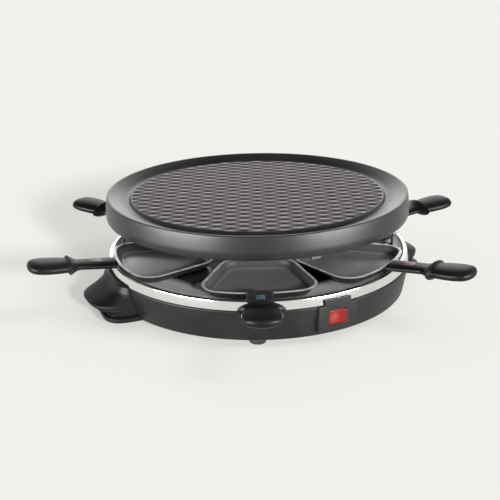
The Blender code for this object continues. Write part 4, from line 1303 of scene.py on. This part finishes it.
@dataclass
class Base:
    """Moulded base with its cover, feet and screws."""

    bottom: float = 0.0072
    top: float = 0.0375
    top_radius: float = 0.1536
    bottom_radius: float = 0.148
    wall: float = 0.0026
    ledge: float = 0.0058
    ledge_thickness: float = 0.0025
    flange: float = 0.124
    flange_low: float = 0.0095
    flange_high: float = 0.012
    back: float = -0.1401
    notch: float = 0.04
    notch_low: float = 0.0123
    feet: Tuple[int, ...] = (-28, 62, 152, -118)
    foot_circle: float = 0.134
    foot_radius: float = 0.0086
    foot_taper: float = 0.0012
    hollow: float = 0.0010
    hollow_radii: Pair = (0.0035, 0.0042)
    hollow_round: float = 0.0004
    tread_round: float = 0.0010
    pad_round: float = 0.0003
    foot_segments: int = 40
    inner_round: float = 0.0004
    bottom_round: float = 0.0022
    top_round: float = 0.0012
    ledge_round: float = 0.0005
    segments: int = 180

    def build(self, finishes: Finishes) -> None:
        """Build and dress the base.

        Args:
            finishes: the materials.
        """
        inner, under = self.bottom_radius - self.wall, self.top - self.ledge_thickness
        profile = rounded([
            (inner, self.bottom, self.inner_round),
            (self.bottom_radius, self.bottom, self.bottom_round),
            (self.top_radius, self.top, self.top_round),
            (self.top_radius - self.ledge, self.top, self.ledge_round),
            (self.top_radius - self.ledge, under, 0),
            (self.top_radius - self.wall, under, 0),
            (inner, self.flange_high, 0),
            (self.flange, self.flange_high, 0),
            (self.flange, self.flange_low, 0),
            (inner, self.flange_low, 0),
        ])
        item = Form().lathe(profile, self.segments).object("base_moulding_shell", smooth=45)
        half = self.notch / 2 + GAP
        carve(item, Form().block((-half, -self.top_radius - OVERRUN, self.notch_low),
                                 (half, self.back + GAP, self.top + OVERRUN)))
        settle(item, finishes.base, "grill", "base_housing")
        dress_nodes(finishes.base, "bottom_cover")
        dress_nodes(finishes.zinc, *numbered("cover_screw", 4))
        self.build_feet(finishes)

    def build_feet(self, finishes: Finishes) -> None:
        """Rubber feet with a ring-shaped tread.

        Args:
            finishes: the materials.
        """
        top = self.bottom - GAP
        profile = rounded([
            (0, self.hollow, 0),
            (self.hollow_radii[0], self.hollow, self.hollow_round),
            (self.hollow_radii[1], 0, self.hollow_round),
            (self.foot_radius - self.foot_taper, 0, self.tread_round),
            (self.foot_radius, top, self.pad_round),
            (0, top, 0),
        ], closed=False)
        for node, azimuth in zip(numbered("foot", 4), self.feet):
            item = Form().lathe(profile, self.foot_segments).object(
                f"{node}_pad", place=shift(*spot(self.foot_circle, azimuth)))
            settle(item, finishes.rubber, "grill", node)


@dataclass
class Supports:
    """Posts, ring, clips and screws over the dish."""

    azimuths: Tuple[int, ...] = (-118, 62, 120, 180)
    circle: float = 0.137
    toe: float = 0.013
    seat_radius: float = 0.125
    strap: float = 0.0015
    width: float = 0.009
    foot: float = 0.0437
    arm: float = 0.0934
    bend: float = 0.0085
    end_round: float = 0.0004
    heel_rounds: Pair = (0.002, 0.0008)
    knee_rounds: Pair = (0.004, 0.003)
    edge: float = 0.0003

    def build(self, finishes: Finishes) -> None:
        """Build and dress what carries the plate.

        Args:
            finishes: the materials.
        """
        outer, inner = self.circle + self.strap / 2, self.circle - self.strap / 2
        knee = self.arm - self.bend
        toe, under = self.circle - self.toe, self.arm - self.strap
        outline = rounded([
            (toe, self.foot, self.end_round),
            (outer, self.foot, self.heel_rounds[0]),
            (outer, knee, self.knee_rounds[0]),
            (outer - self.bend + self.strap / 2, self.arm, self.knee_rounds[0]),
            (self.seat_radius, self.arm, self.end_round),
            (self.seat_radius, under, self.end_round),
            (inner - self.bend + self.strap, under, self.knee_rounds[1]),
            (inner, knee - self.strap / 2, self.knee_rounds[1]),
            (inner, self.foot + self.strap, self.heel_rounds[1]),
            (toe, self.foot + self.strap, self.end_round),
        ])
        for number, azimuth in enumerate(self.azimuths, 1):
            form = Form().strap(outline, self.width).bevel(self.edge, segments=1, angle=60)
            item = form.object(f"post_{number}_strap", place=around(azimuth))
            settle(item, finishes.strap, "grill", f"support_post_{number}")
        dress_nodes(finishes.strap, "support_ring")
        dress_nodes(finishes.zinc, *numbered("post_screw", 4))
        dress_nodes(finishes.clip, *numbered("element_clip", 3))


@dataclass
class Element:
    """Tubular heating element with its ceramic bush."""

    circle: float = 0.108
    radius: float = 0.00325
    height: float = 0.073
    bend: float = 0.012
    spacing: float = 0.011
    leg_end: float = 0.0195
    leg_steps: int = 4
    bend_steps: int = 8
    round_steps: int = 60
    sides: int = 20

    def path(self) -> List[Vector]:
        """Centre line of the element, from leg to leg.

        Returns:
            The points of the line.
        """
        start = math.degrees(math.asin(self.spacing / 2 / self.circle))
        turn = math.degrees(self.bend / self.circle)
        low = self.height - self.bend
        leg = low - self.leg_end
        half = [spot(self.circle, 180 - start, self.leg_end + leg * k / self.leg_steps)
                for k in range(self.leg_steps)]
        for step in range(self.bend_steps + 1):
            angle = math.pi / 2 * step / self.bend_steps
            half.append(spot(self.circle, 180 - start - turn * (1 - math.cos(angle)),
                             low + self.bend * math.sin(angle)))
        first = 180 - start - turn
        half += [spot(self.circle, first * (1 - k / self.round_steps), self.height)
                 for k in range(1, self.round_steps + 1)]
        return half + [Vector((-p.x, p.y, p.z)) for p in reversed(half[:-1])]

    def build(self, finishes: Finishes) -> None:
        """Build and dress the element.

        Args:
            finishes: the materials.
        """
        form = Form().tube(self.path(), self.radius, self.sides)
        item = form.object("element_tube", smooth=50)
        settle(item, finishes.sheath, "grill", "heating_element")
        dress_nodes(finishes.ceramic, "element_bush", "terminal_block")


# Tray of a pan from its underside over the rim to its floor: drawn in by, height
TRAY_LEVELS = (
    (0.0097, 0.0), (0.0085, 0.0001), (0.0072, 0.0006), (0.0058, 0.0016), (0.0044, 0.0036),
    (0.0032, 0.0062), (0.0026, 0.0075), (0.0022, 0.0078), (0.0005, 0.0078), (0.0, 0.0081),
    (0.0, 0.0085), (0.0005, 0.0088), (0.0022, 0.0088), (0.0030, 0.0084), (0.0036, 0.0073),
    (0.0046, 0.0051), (0.0059, 0.0030), (0.0074, 0.0016), (0.0090, 0.0011), (0.0106, 0.0010),
    (0.0180, 0.0010))

# Handle of a pan: shares of its length, width and thickness, and the power that squares it
GRIP_ROWS = (
    (0.000, 0.64, 0.52, 0.84), (0.010, 0.69, 0.60, 0.84), (0.030, 0.72, 0.63, 0.84),
    (0.200, 0.69, 0.63, 0.84), (0.400, 0.64, 0.64, 0.84), (0.450, 0.68, 0.70, 0.86),
    (0.485, 0.80, 0.88, 0.92), (0.515, 1.00, 1.16, 1.04), (0.536, 1.17, 1.385, 1.16),
    (0.541, 1.18, 1.395, 1.16), (0.545, 1.165, 1.38, 1.14), (0.556, 1.00, 1.18, 1.02),
    (0.568, 0.89, 1.02, 0.90), (0.582, 0.86, 0.97, 0.86), (0.660, 0.94, 0.99, 0.84),
    (0.790, 1.00, 1.00, 0.84), (0.890, 0.93, 0.96, 0.84), (0.945, 0.79, 0.85, 0.85),
    (0.978, 0.56, 0.66, 0.88), (0.994, 0.32, 0.42, 0.90), (1.000, 0.10, 0.16, 0.90))

# Carrying handle: shares of its height, reach and half width, and the power that squares it,
# for the foot plate, the grip above the undercut, and the hollow inside
CARRY_PLATE = (
    (0.00, 0.755, 0.975, 0.50), (0.012, 0.782, 0.993, 0.50), (0.035, 0.79, 1.00, 0.50),
    (0.120, 0.79, 1.00, 0.50), (0.138, 0.784, 0.993, 0.50), (0.148, 0.772, 0.96, 0.52))
CARRY_BODY = (
    (0.152, 0.735, 0.875, 0.58), (0.175, 0.745, 0.86, 0.61), (0.225, 0.82, 0.86, 0.69),
    (0.280, 0.92, 0.86, 0.78), (0.330, 0.975, 0.86, 0.85), (0.370, 0.997, 0.86, 0.88),
    (0.405, 0.998, 0.86, 0.88), (0.440, 0.975, 0.857, 0.88), (0.480, 0.925, 0.853, 0.88),
    (0.600, 0.73, 0.84, 0.86), (0.780, 0.54, 0.82, 0.84), (0.960, 0.467, 0.795, 0.80),
    (1.000, 0.45, 0.78, 0.80))
CARRY_HOLLOW = (
    (-0.2, 0.74, 0.86, 0.60), (0.17, 0.74, 0.86, 0.60), (0.46, 0.74, 0.86, 0.70),
    (0.64, 0.57, 0.80, 0.75), (0.88, 0.42, 0.78, 0.75))


@dataclass
class Pan:
    """One raclette pan with its handle and colour marker."""

    label: str
    azimuth: float
    yaw: float
    pull: float
    colour: MarkerColour
    radius: float = 0.147
    half_angle: float = 23.2021
    inner: float = 0.056007
    inner_half: float = 0.0324135
    corner: float = 0.021
    bottom: float = PAN_BOTTOM
    height: float = PAN_HEIGHT
    handle_start: float = 0.1487
    handle_length: float = 0.0842
    rise: float = 5.5
    grip_width: float = 0.0345
    grip_thickness: float = 0.0112
    tab_half: float = 0.008
    tab_reach: float = 0.0135
    tab_root: float = 0.0012
    tab_thickness: float = 0.0008
    marker_place: float = 0.0203
    marker_half: float = 0.004
    marker_length: float = 0.012
    marker_seat: float = 0.0023
    marker_thickness: float = 0.0014
    marker_round: float = 0.0009
    marker_edge: float = 0.0003
    lap: float = 0.0001
    least_corner: float = 0.001
    front_steps: int = 5
    grip_rings: int = 101
    sides: int = 40

    @property
    def body(self) -> str:
        """Body of the pan; its nodes' names begin with it."""
        return f"{self.label}_pan"

    @property
    def rim(self) -> float:
        """Height of the rim."""
        return self.bottom + self.height

    def place(self) -> Matrix:
        """Where the pan stands.

        Returns:
            The matrix that takes a pan there from the middle of the -Y side.
        """
        centre = (self.radius + self.inner) / 2
        swing = shift(0, -centre - self.pull, 0) @ around(self.yaw) @ shift(0, centre, 0)
        return around(self.azimuth) @ swing

    def outline(self, inset: float, steps: int = 10) -> List[Pair]:
        """Outline of the tray as (across, out), drawn in by an inset.

        Args:
            inset: how far it is drawn in.
            steps: number of stretches in each corner.

        Returns:
            The points.
        """
        radius = self.radius - inset
        half = math.radians(self.half_angle)
        outer = Vector((self.radius * math.sin(half), self.radius * math.cos(half)))
        first = Vector((self.inner_half, self.inner))
        along = (outer - first).normalized()
        inward = Vector((-along.y, along.x))
        corner = max(self.corner - inset, self.least_corner)
        start = first + inward * (inset + corner)
        reach = radius - corner
        product = start.dot(along)
        length = -product + math.sqrt(product ** 2 - start.length_squared + reach ** 2)
        far = start + along * length
        level = self.inner + inset + corner
        near = start + along * ((level - start.y) / along.y)
        side = math.degrees(math.atan2(-inward.y, -inward.x))
        end = math.degrees(math.atan2(far.y, far.x))
        right = arc(near, corner, -90, side, steps) + arc(far, corner, side, end, steps)
        last = self.front_steps - 1
        middle = [math.radians((90 - end) * step / self.front_steps)
                  for step in range(last, -last - 1, -1)]
        return (right + [(radius * math.sin(a), radius * math.cos(a)) for a in middle]
                + [(-x, y) for x, y in reversed(right)])

    def tray(self, finishes: Finishes) -> None:
        """Pressed tray with a rolled rim and the tab that holds the handle.

        Args:
            finishes: the materials.
        """
        rings = [[Vector((x, -y, self.bottom + up)) for x, y in self.outline(inset)]
                 for inset, up in TRAY_LEVELS]
        item = Form().loft(rings).object(f"{self.body}_pressing", place=self.place())
        top = self.rim - self.lap
        tab = Form().block((-self.tab_half, -(self.radius + self.tab_reach),
                            top - self.tab_thickness),
                           (self.tab_half, -(self.radius - self.tab_root), top))
        carve(item, tab, "UNION")
        settle(plant(item), finishes.pan, self.body, f"{self.body}_tray")

    def section(self, place: float, width: float, thickness: float,
                squareness: float) -> List[Vector]:
        """One ring of the handle.

        Args:
            place: share of the length.
            width: share of the width.
            thickness: share of the thickness.
            squareness: power of the oval; the lower it is, the squarer.

        Returns:
            The points of the ring.
        """
        half, depth = self.grip_width / 2 * width, self.grip_thickness / 2 * thickness
        angles = [math.tau * step / self.sides for step in range(self.sides)]
        return [Vector((half * bulge(math.cos(a), squareness), -self.handle_length * place,
                        depth * bulge(math.sin(a), squareness))) for a in angles]

    def marker_shape(self, clearance: float, low: float, high: float) -> Form:
        """The marker, or with a clearance the seat that takes it.

        Args:
            clearance: how much wider it is on each side.
            low: height of its lower face.
            high: height of its upper face.

        Returns:
            The form.
        """
        half, length = self.marker_half + clearance, self.marker_length / 2 + clearance
        outline = plaque(half, -self.marker_place - length, -self.marker_place + length,
                         self.marker_round + clearance)
        return Form().prism(outline, low, high)

    def handle(self, finishes: Finishes) -> None:
        """Plastic handle with a finger guard and a seat for the marker.

        Args:
            finishes: the materials.
        """
        place = (self.place() @ shift(0, -self.handle_start, self.rim + self.lap)
                 @ Matrix.Rotation(math.radians(-self.rise), 4, "X"))
        rings = [self.section(*row) for row in eased(GRIP_ROWS, self.grip_rings)]
        item = Form().loft(rings).object(f"{self.body}_grip", smooth=50, place=place)
        seat = self.marker_seat
        carve(item, self.marker_shape(GAP, seat - GAP, seat + OVERRUN), smooth=50)
        settle(plant(item), finishes.grip, self.body, f"{self.body}_handle")
        chip = self.marker_shape(0, seat, seat + self.marker_thickness)
        chip.bevel(self.marker_edge, angle=60)
        item = chip.object(f"{self.body}_marker_chip", place=place)
        settle(plant(item), finishes.markers[self.colour], self.body,
               f"{self.body}_marker")

    def build(self, finishes: Finishes) -> None:
        """Build and dress the whole pan."""
        self.tray(finishes)
        self.handle(finishes)


@dataclass
class CarryingHandle:
    """Hollow grip on one side of the base."""

    label: str
    azimuth: float
    root: float = 0.138
    reach: float = 0.048
    half_width: float = 0.046
    wall: float = 0.003
    waist: float = 0.004
    low: float = 0.0075
    high: float = 0.0378
    wall_low: Pair = (0.1476, 0.0032)
    wall_high: Pair = (0.1548, 0.0415)
    plate_rings: int = 16
    body_rings: int = 61
    count: int = 60

    def ring(self, level: float, reach: float, half: float, squareness: float,
             inset: float = 0.0) -> List[Vector]:
        """Blunt D-shaped outline at one level.

        Args:
            level: share of the height.
            reach: share of the reach.
            half: share of the half width.
            squareness: power of the outline; the lower it is, the squarer.
            inset: how far it is drawn in.

        Returns:
            The points of the outline.
        """
        points = []
        width, length = self.half_width * half - inset, self.reach * reach - inset
        for step in range(self.count + 1):
            angle = math.pi * step / self.count
            across = width * bulge(math.cos(angle), squareness)
            dip = self.waist * (1 - (across / width) ** 2) ** 2
            out = self.root + length * bulge(abs(math.sin(angle)), squareness) - dip
            points.append(Vector((across, -out, self.low + (self.high - self.low) * level)))
        return points

    def build(self, finishes: Finishes) -> None:
        """Build and dress the grip: a foot plate, an undercut and a lip under a sloping roof.

        Args:
            finishes: the materials.
        """
        rows = eased(CARRY_PLATE, self.plate_rings) + eased(CARRY_BODY, self.body_rings)
        rings = [self.ring(*row) for row in rows]
        item = Form().loft(rings).object(f"carrying_grip_{self.label}",
                                         place=around(self.azimuth))
        carve(item, Form().loft([self.ring(*row, inset=self.wall) for row in CARRY_HOLLOW]))
        cone = [(0, self.wall_low[1]), self.wall_low, self.wall_high, (0, self.wall_high[1])]
        carve(item, Form().lathe(cone, 180))
        settle(plant(item), finishes.grip, "grill",
               f"carrying_handle_{self.label}")


@dataclass
class Switch:
    """Switch housing with a lit rocker."""

    width: float = 0.040
    tab: float = 0.027
    front: float = -0.1543
    back: float = -0.1401
    low: float = 0.0126
    high: float = 0.0372
    tab_top: float = 0.0428
    tab_thickness: float = 0.0016
    tab_root: float = 0.004
    rocker_width: float = 0.0176
    rocker_height: float = 0.013
    centre: float = 0.02505
    pivot_depth: float = 0.0036
    rocker_back: float = 0.0014
    hollow: float = 0.0011
    tilt: float = 7.0
    edge: float = 0.0009
    fine_edge: float = 0.0005
    steps: int = 24

    def build(self, finishes: Finishes) -> None:
        """Build and dress the switch.

        Args:
            finishes: the materials.
        """
        half = self.width / 2
        housing = Form().block((-half, self.front, self.low), (half, self.back, self.high))
        item = housing.bevel(self.edge, segments=3).object("switch_bezel")
        tab = Form().block((-self.tab / 2, self.front, self.high - self.tab_root),
                           (self.tab / 2, self.front + self.tab_thickness, self.tab_top))
        carve(item, tab.bevel(self.fine_edge, segments=3), "UNION")
        across, up = self.rocker_width / 2 + 2 * GAP, self.rocker_height / 2 + GAP
        carve(item, Form().block((-across, self.front - OVERRUN, self.centre - up),
                                 (across, self.back + OVERRUN, self.centre + up)))
        settle(item, finishes.base, "grill", "switch_housing")
        dress_nodes(finishes.base, "switch_body")
        dress_nodes(finishes.zinc, "rocker_pin")
        dress_nodes(finishes.neon, "indicator_lamp")
        self.rocker(finishes)

    def rocker(self, finishes: Finishes) -> None:
        """Rocker with a hollowed, ribbed face.

        Args:
            finishes: the materials.
        """
        reach, back = self.rocker_width / 2, self.rocker_back
        front = self.pivot_depth + self.hollow
        outline = [(-reach, back), (-reach, -front)]
        for step in range(1, self.steps):
            share = 2 * step / self.steps - 1
            outline.append((reach * share, -front + self.hollow * (1 - share ** 2)))
        outline += [(reach, -front), (reach, back), (reach / 2, back + self.hollow),
                    (-reach / 2, back + self.hollow)]
        form = Form().prism(outline, -self.rocker_height / 2, self.rocker_height / 2)
        place = (shift(0, self.front + self.pivot_depth, self.centre)
                 @ Matrix.Rotation(math.radians(-self.tilt), 4, "Z"))
        item = form.bevel(self.fine_edge, segments=3, angle=40).object("rocker_cap", place=place)
        settle(item, finishes.lens, "rocker", "rocker")


@dataclass
class Wiring:
    """What lies under the dish; its solids keep their shape."""

    def build(self, finishes: Finishes) -> None:
        """Dress the inner pieces.

        Args:
            finishes: the materials.
        """
        dress_nodes(finishes.aluminium, "heat_shield", "thermal_fuse")
        dress_nodes(finishes.rubber, "cable_inlet")
        for wire, colour in (("live", "brown"), ("switched", "black"), ("fused", "black"),
                             ("neutral", "blue")):
            dress_nodes(finishes.wires[colour], f"wire_{wire}")


# Studio


@dataclass
class Studio:
    """Floor, lights and camera."""

    view_azimuth: float = -27.5
    elevation: float = 21.81
    distance: float = 1.0
    pitch: float = 2.20
    yaw: float = -0.50
    roll: float = -1.03
    lens: float = 69.13
    sensor: float = 36.0
    near: float = 0.05
    far: float = 60.0
    pale: Colour = (0.905, 0.896, 0.863)
    floor_colour: Colour = (0.98, 0.97, 0.935)
    floor_look: Colour = (0.956, 0.947, 0.912)
    floor_radius: float = 12.0
    floor_thickness: float = 0.02
    floor_sides: int = 60
    floor_share: float = 0.47
    ambient: float = 0.34
    ceiling: Colour = (0.3, 0.3, 0.3)
    horizon: Pair = (0.25, 0.7)
    aim_height: float = 0.06
    key_distance: float = 3.0
    box_distance: float = 1.6

    def camera(self) -> None:
        """Camera at the photograph's place."""
        up = math.radians(self.elevation)
        place = shift(0, -self.distance * math.cos(up), self.distance * math.sin(up))
        tip = Matrix.Rotation(math.radians(90 - self.elevation + self.pitch), 4, "X")
        place = around(self.view_azimuth) @ place @ around(-self.yaw) @ tip @ around(self.roll)
        data = bpy.data.cameras.new("product_camera")
        data.lens, data.sensor_width, data.sensor_fit = self.lens, self.sensor, "HORIZONTAL"
        data.clip_start, data.clip_end = self.near, self.far
        bpy.context.scene.camera = stand("product_camera", data, place)

    def lamp(self, name: str, kind: str, azimuth: float, elevation: float, distance: float,
             **settings: Any) -> Piece:
        """Put up a lamp that faces the grill, unseen by the camera.

        Args:
            name: its name.
            kind: its type.
            azimuth: where it stands, in degrees from the camera's side.
            elevation: its height in degrees.
            distance: how far away it is.
            settings: its properties.

        Returns:
            The lamp.
        """
        data = bpy.data.lights.new(name, kind)
        for key, value in settings.items():
            setattr(data, key, value)
        up = math.radians(elevation)
        place = spot(distance * math.cos(up), azimuth + self.view_azimuth,
                     distance * math.sin(up))
        turn = (Vector((0, 0, self.aim_height)) - place).to_track_quat("-Z", "Y")
        item = stand(name, data, Matrix.Translation(place) @ turn.to_matrix().to_4x4())
        item.visible_camera = False
        return item

    def key(self, name: str, azimuth: float, elevation: float, strength: float,
            spread: float) -> None:
        """Even key light that throws a soft shadow and leaves gloss to the softboxes.

        Args:
            name: its name.
            azimuth: where it stands, in degrees from the camera's side.
            elevation: its height in degrees.
            strength: its strength.
            spread: how wide it looks from the grill, in degrees.
        """
        item = self.lamp(name, "SUN", azimuth, elevation, self.key_distance, energy=strength,
                         angle=math.radians(spread))
        item.visible_glossy = False

    def softbox(self, name: str, azimuth: float, elevation: float, size: Pair,
                level: float) -> None:
        """Softbox of a width, a height and a brightness that shows in gloss alone.

        Args:
            name: its name.
            azimuth: where it stands, in degrees from the camera's side.
            elevation: its height in degrees.
            size: its width and height.
            level: its brightness.
        """
        item = self.lamp(name, "AREA", azimuth, elevation, self.box_distance,
                         shape="RECTANGLE", size=size[0], size_y=size[1],
                         energy=level * math.pi * size[0] * size[1])
        item.visible_diffuse = False

    def floor(self) -> None:
        """Pale floor that keeps the shadow."""
        g = Graph("pale_floor")
        diffuse = g.node("ShaderNodeBsdfDiffuse", None, {"Color": self.floor_colour})
        emission = g.node("ShaderNodeEmission", None,
                          {"Color": self.floor_look, "Strength": 1.0})
        g.show(g.node("ShaderNodeMixShader", None, {0: g.seen() * self.floor_share,
                                                    1: diffuse.outputs[0],
                                                    2: emission.outputs[0]}))
        outline = circle(self.floor_radius, self.floor_sides)
        item = Form().prism(outline, -self.floor_thickness, 0).object("studio_floor")
        dress(item, g.material)

    def world(self) -> None:
        """Pale surroundings, dimmer as light than they look."""
        g = Graph("studio", world=True)
        camera = Signal(g, g.node("ShaderNodeLightPath").outputs["Is Camera Ray"])
        height = g.split(g.node("ShaderNodeTexCoord").outputs["Generated"])[2]
        low = 1.0 - height.step(*self.horizon)
        seen = g.node("ShaderNodeBackground", None, {"Color": self.pale, "Strength": 1.0})
        light = g.node("ShaderNodeBackground", None,
                       {"Color": g.mix(g.seen(), (1.0, 1.0, 1.0), self.ceiling),
                        "Strength": self.ambient})
        factor = g.seen() * camera.math("MAXIMUM", low)
        bpy.context.scene.world = g.show(g.node("ShaderNodeMixShader", None, {
            0: factor, 1: light.outputs[0], 2: seen.outputs[0]}))

    def build(self) -> None:
        """Set the whole studio."""
        bpy.context.scene.view_settings.view_transform = "Standard"
        self.camera()
        self.floor()
        self.world()
        self.key("front_key", azimuth=25.5, elevation=18, strength=3.9, spread=7)
        self.key("side_key", azimuth=70, elevation=48, strength=0.6, spread=24)
        self.softbox("left_front_box", azimuth=-54, elevation=12, size=(1.3, 0.42), level=44.0)
        self.softbox("right_front_box", azimuth=53, elevation=12, size=(1.1, 0.42), level=42.0)
        self.softbox("back_box", azimuth=180, elevation=15, size=(1.4, 0.6), level=2.3)


PANS = (
    Pan("front_left", azimuth=-27.3, yaw=1.0, pull=0.0, colour=MarkerColour.TEAL),
    Pan("front_right", azimuth=29.8, yaw=-2.0, pull=0.0, colour=MarkerColour.RED),
    Pan("left", azimuth=-91.0, yaw=-5.0, pull=0.0021, colour=MarkerColour.OLIVE),
    Pan("right", azimuth=88.3, yaw=0.0, pull=0.0035, colour=MarkerColour.BLUE),
    Pan("rear_left", azimuth=-147.5, yaw=0.0, pull=0.0035, colour=MarkerColour.ORANGE),
    Pan("rear_right", azimuth=149.0, yaw=0.0, pull=0.0035, colour=MarkerColour.WHITE),
)


def main() -> None:
    """Build every sub-assembly and the studio."""
    finishes = Finishes()
    parts = [GrillPlate(), Dish(), Base(), Supports(), Element(), *PANS,
             CarryingHandle("left", azimuth=-93), CarryingHandle("right", azimuth=87),
             Switch(), Wiring()]
    for part in parts:
        part.build(finishes)
    Studio().build()


if __name__ == "__main__":
    main()
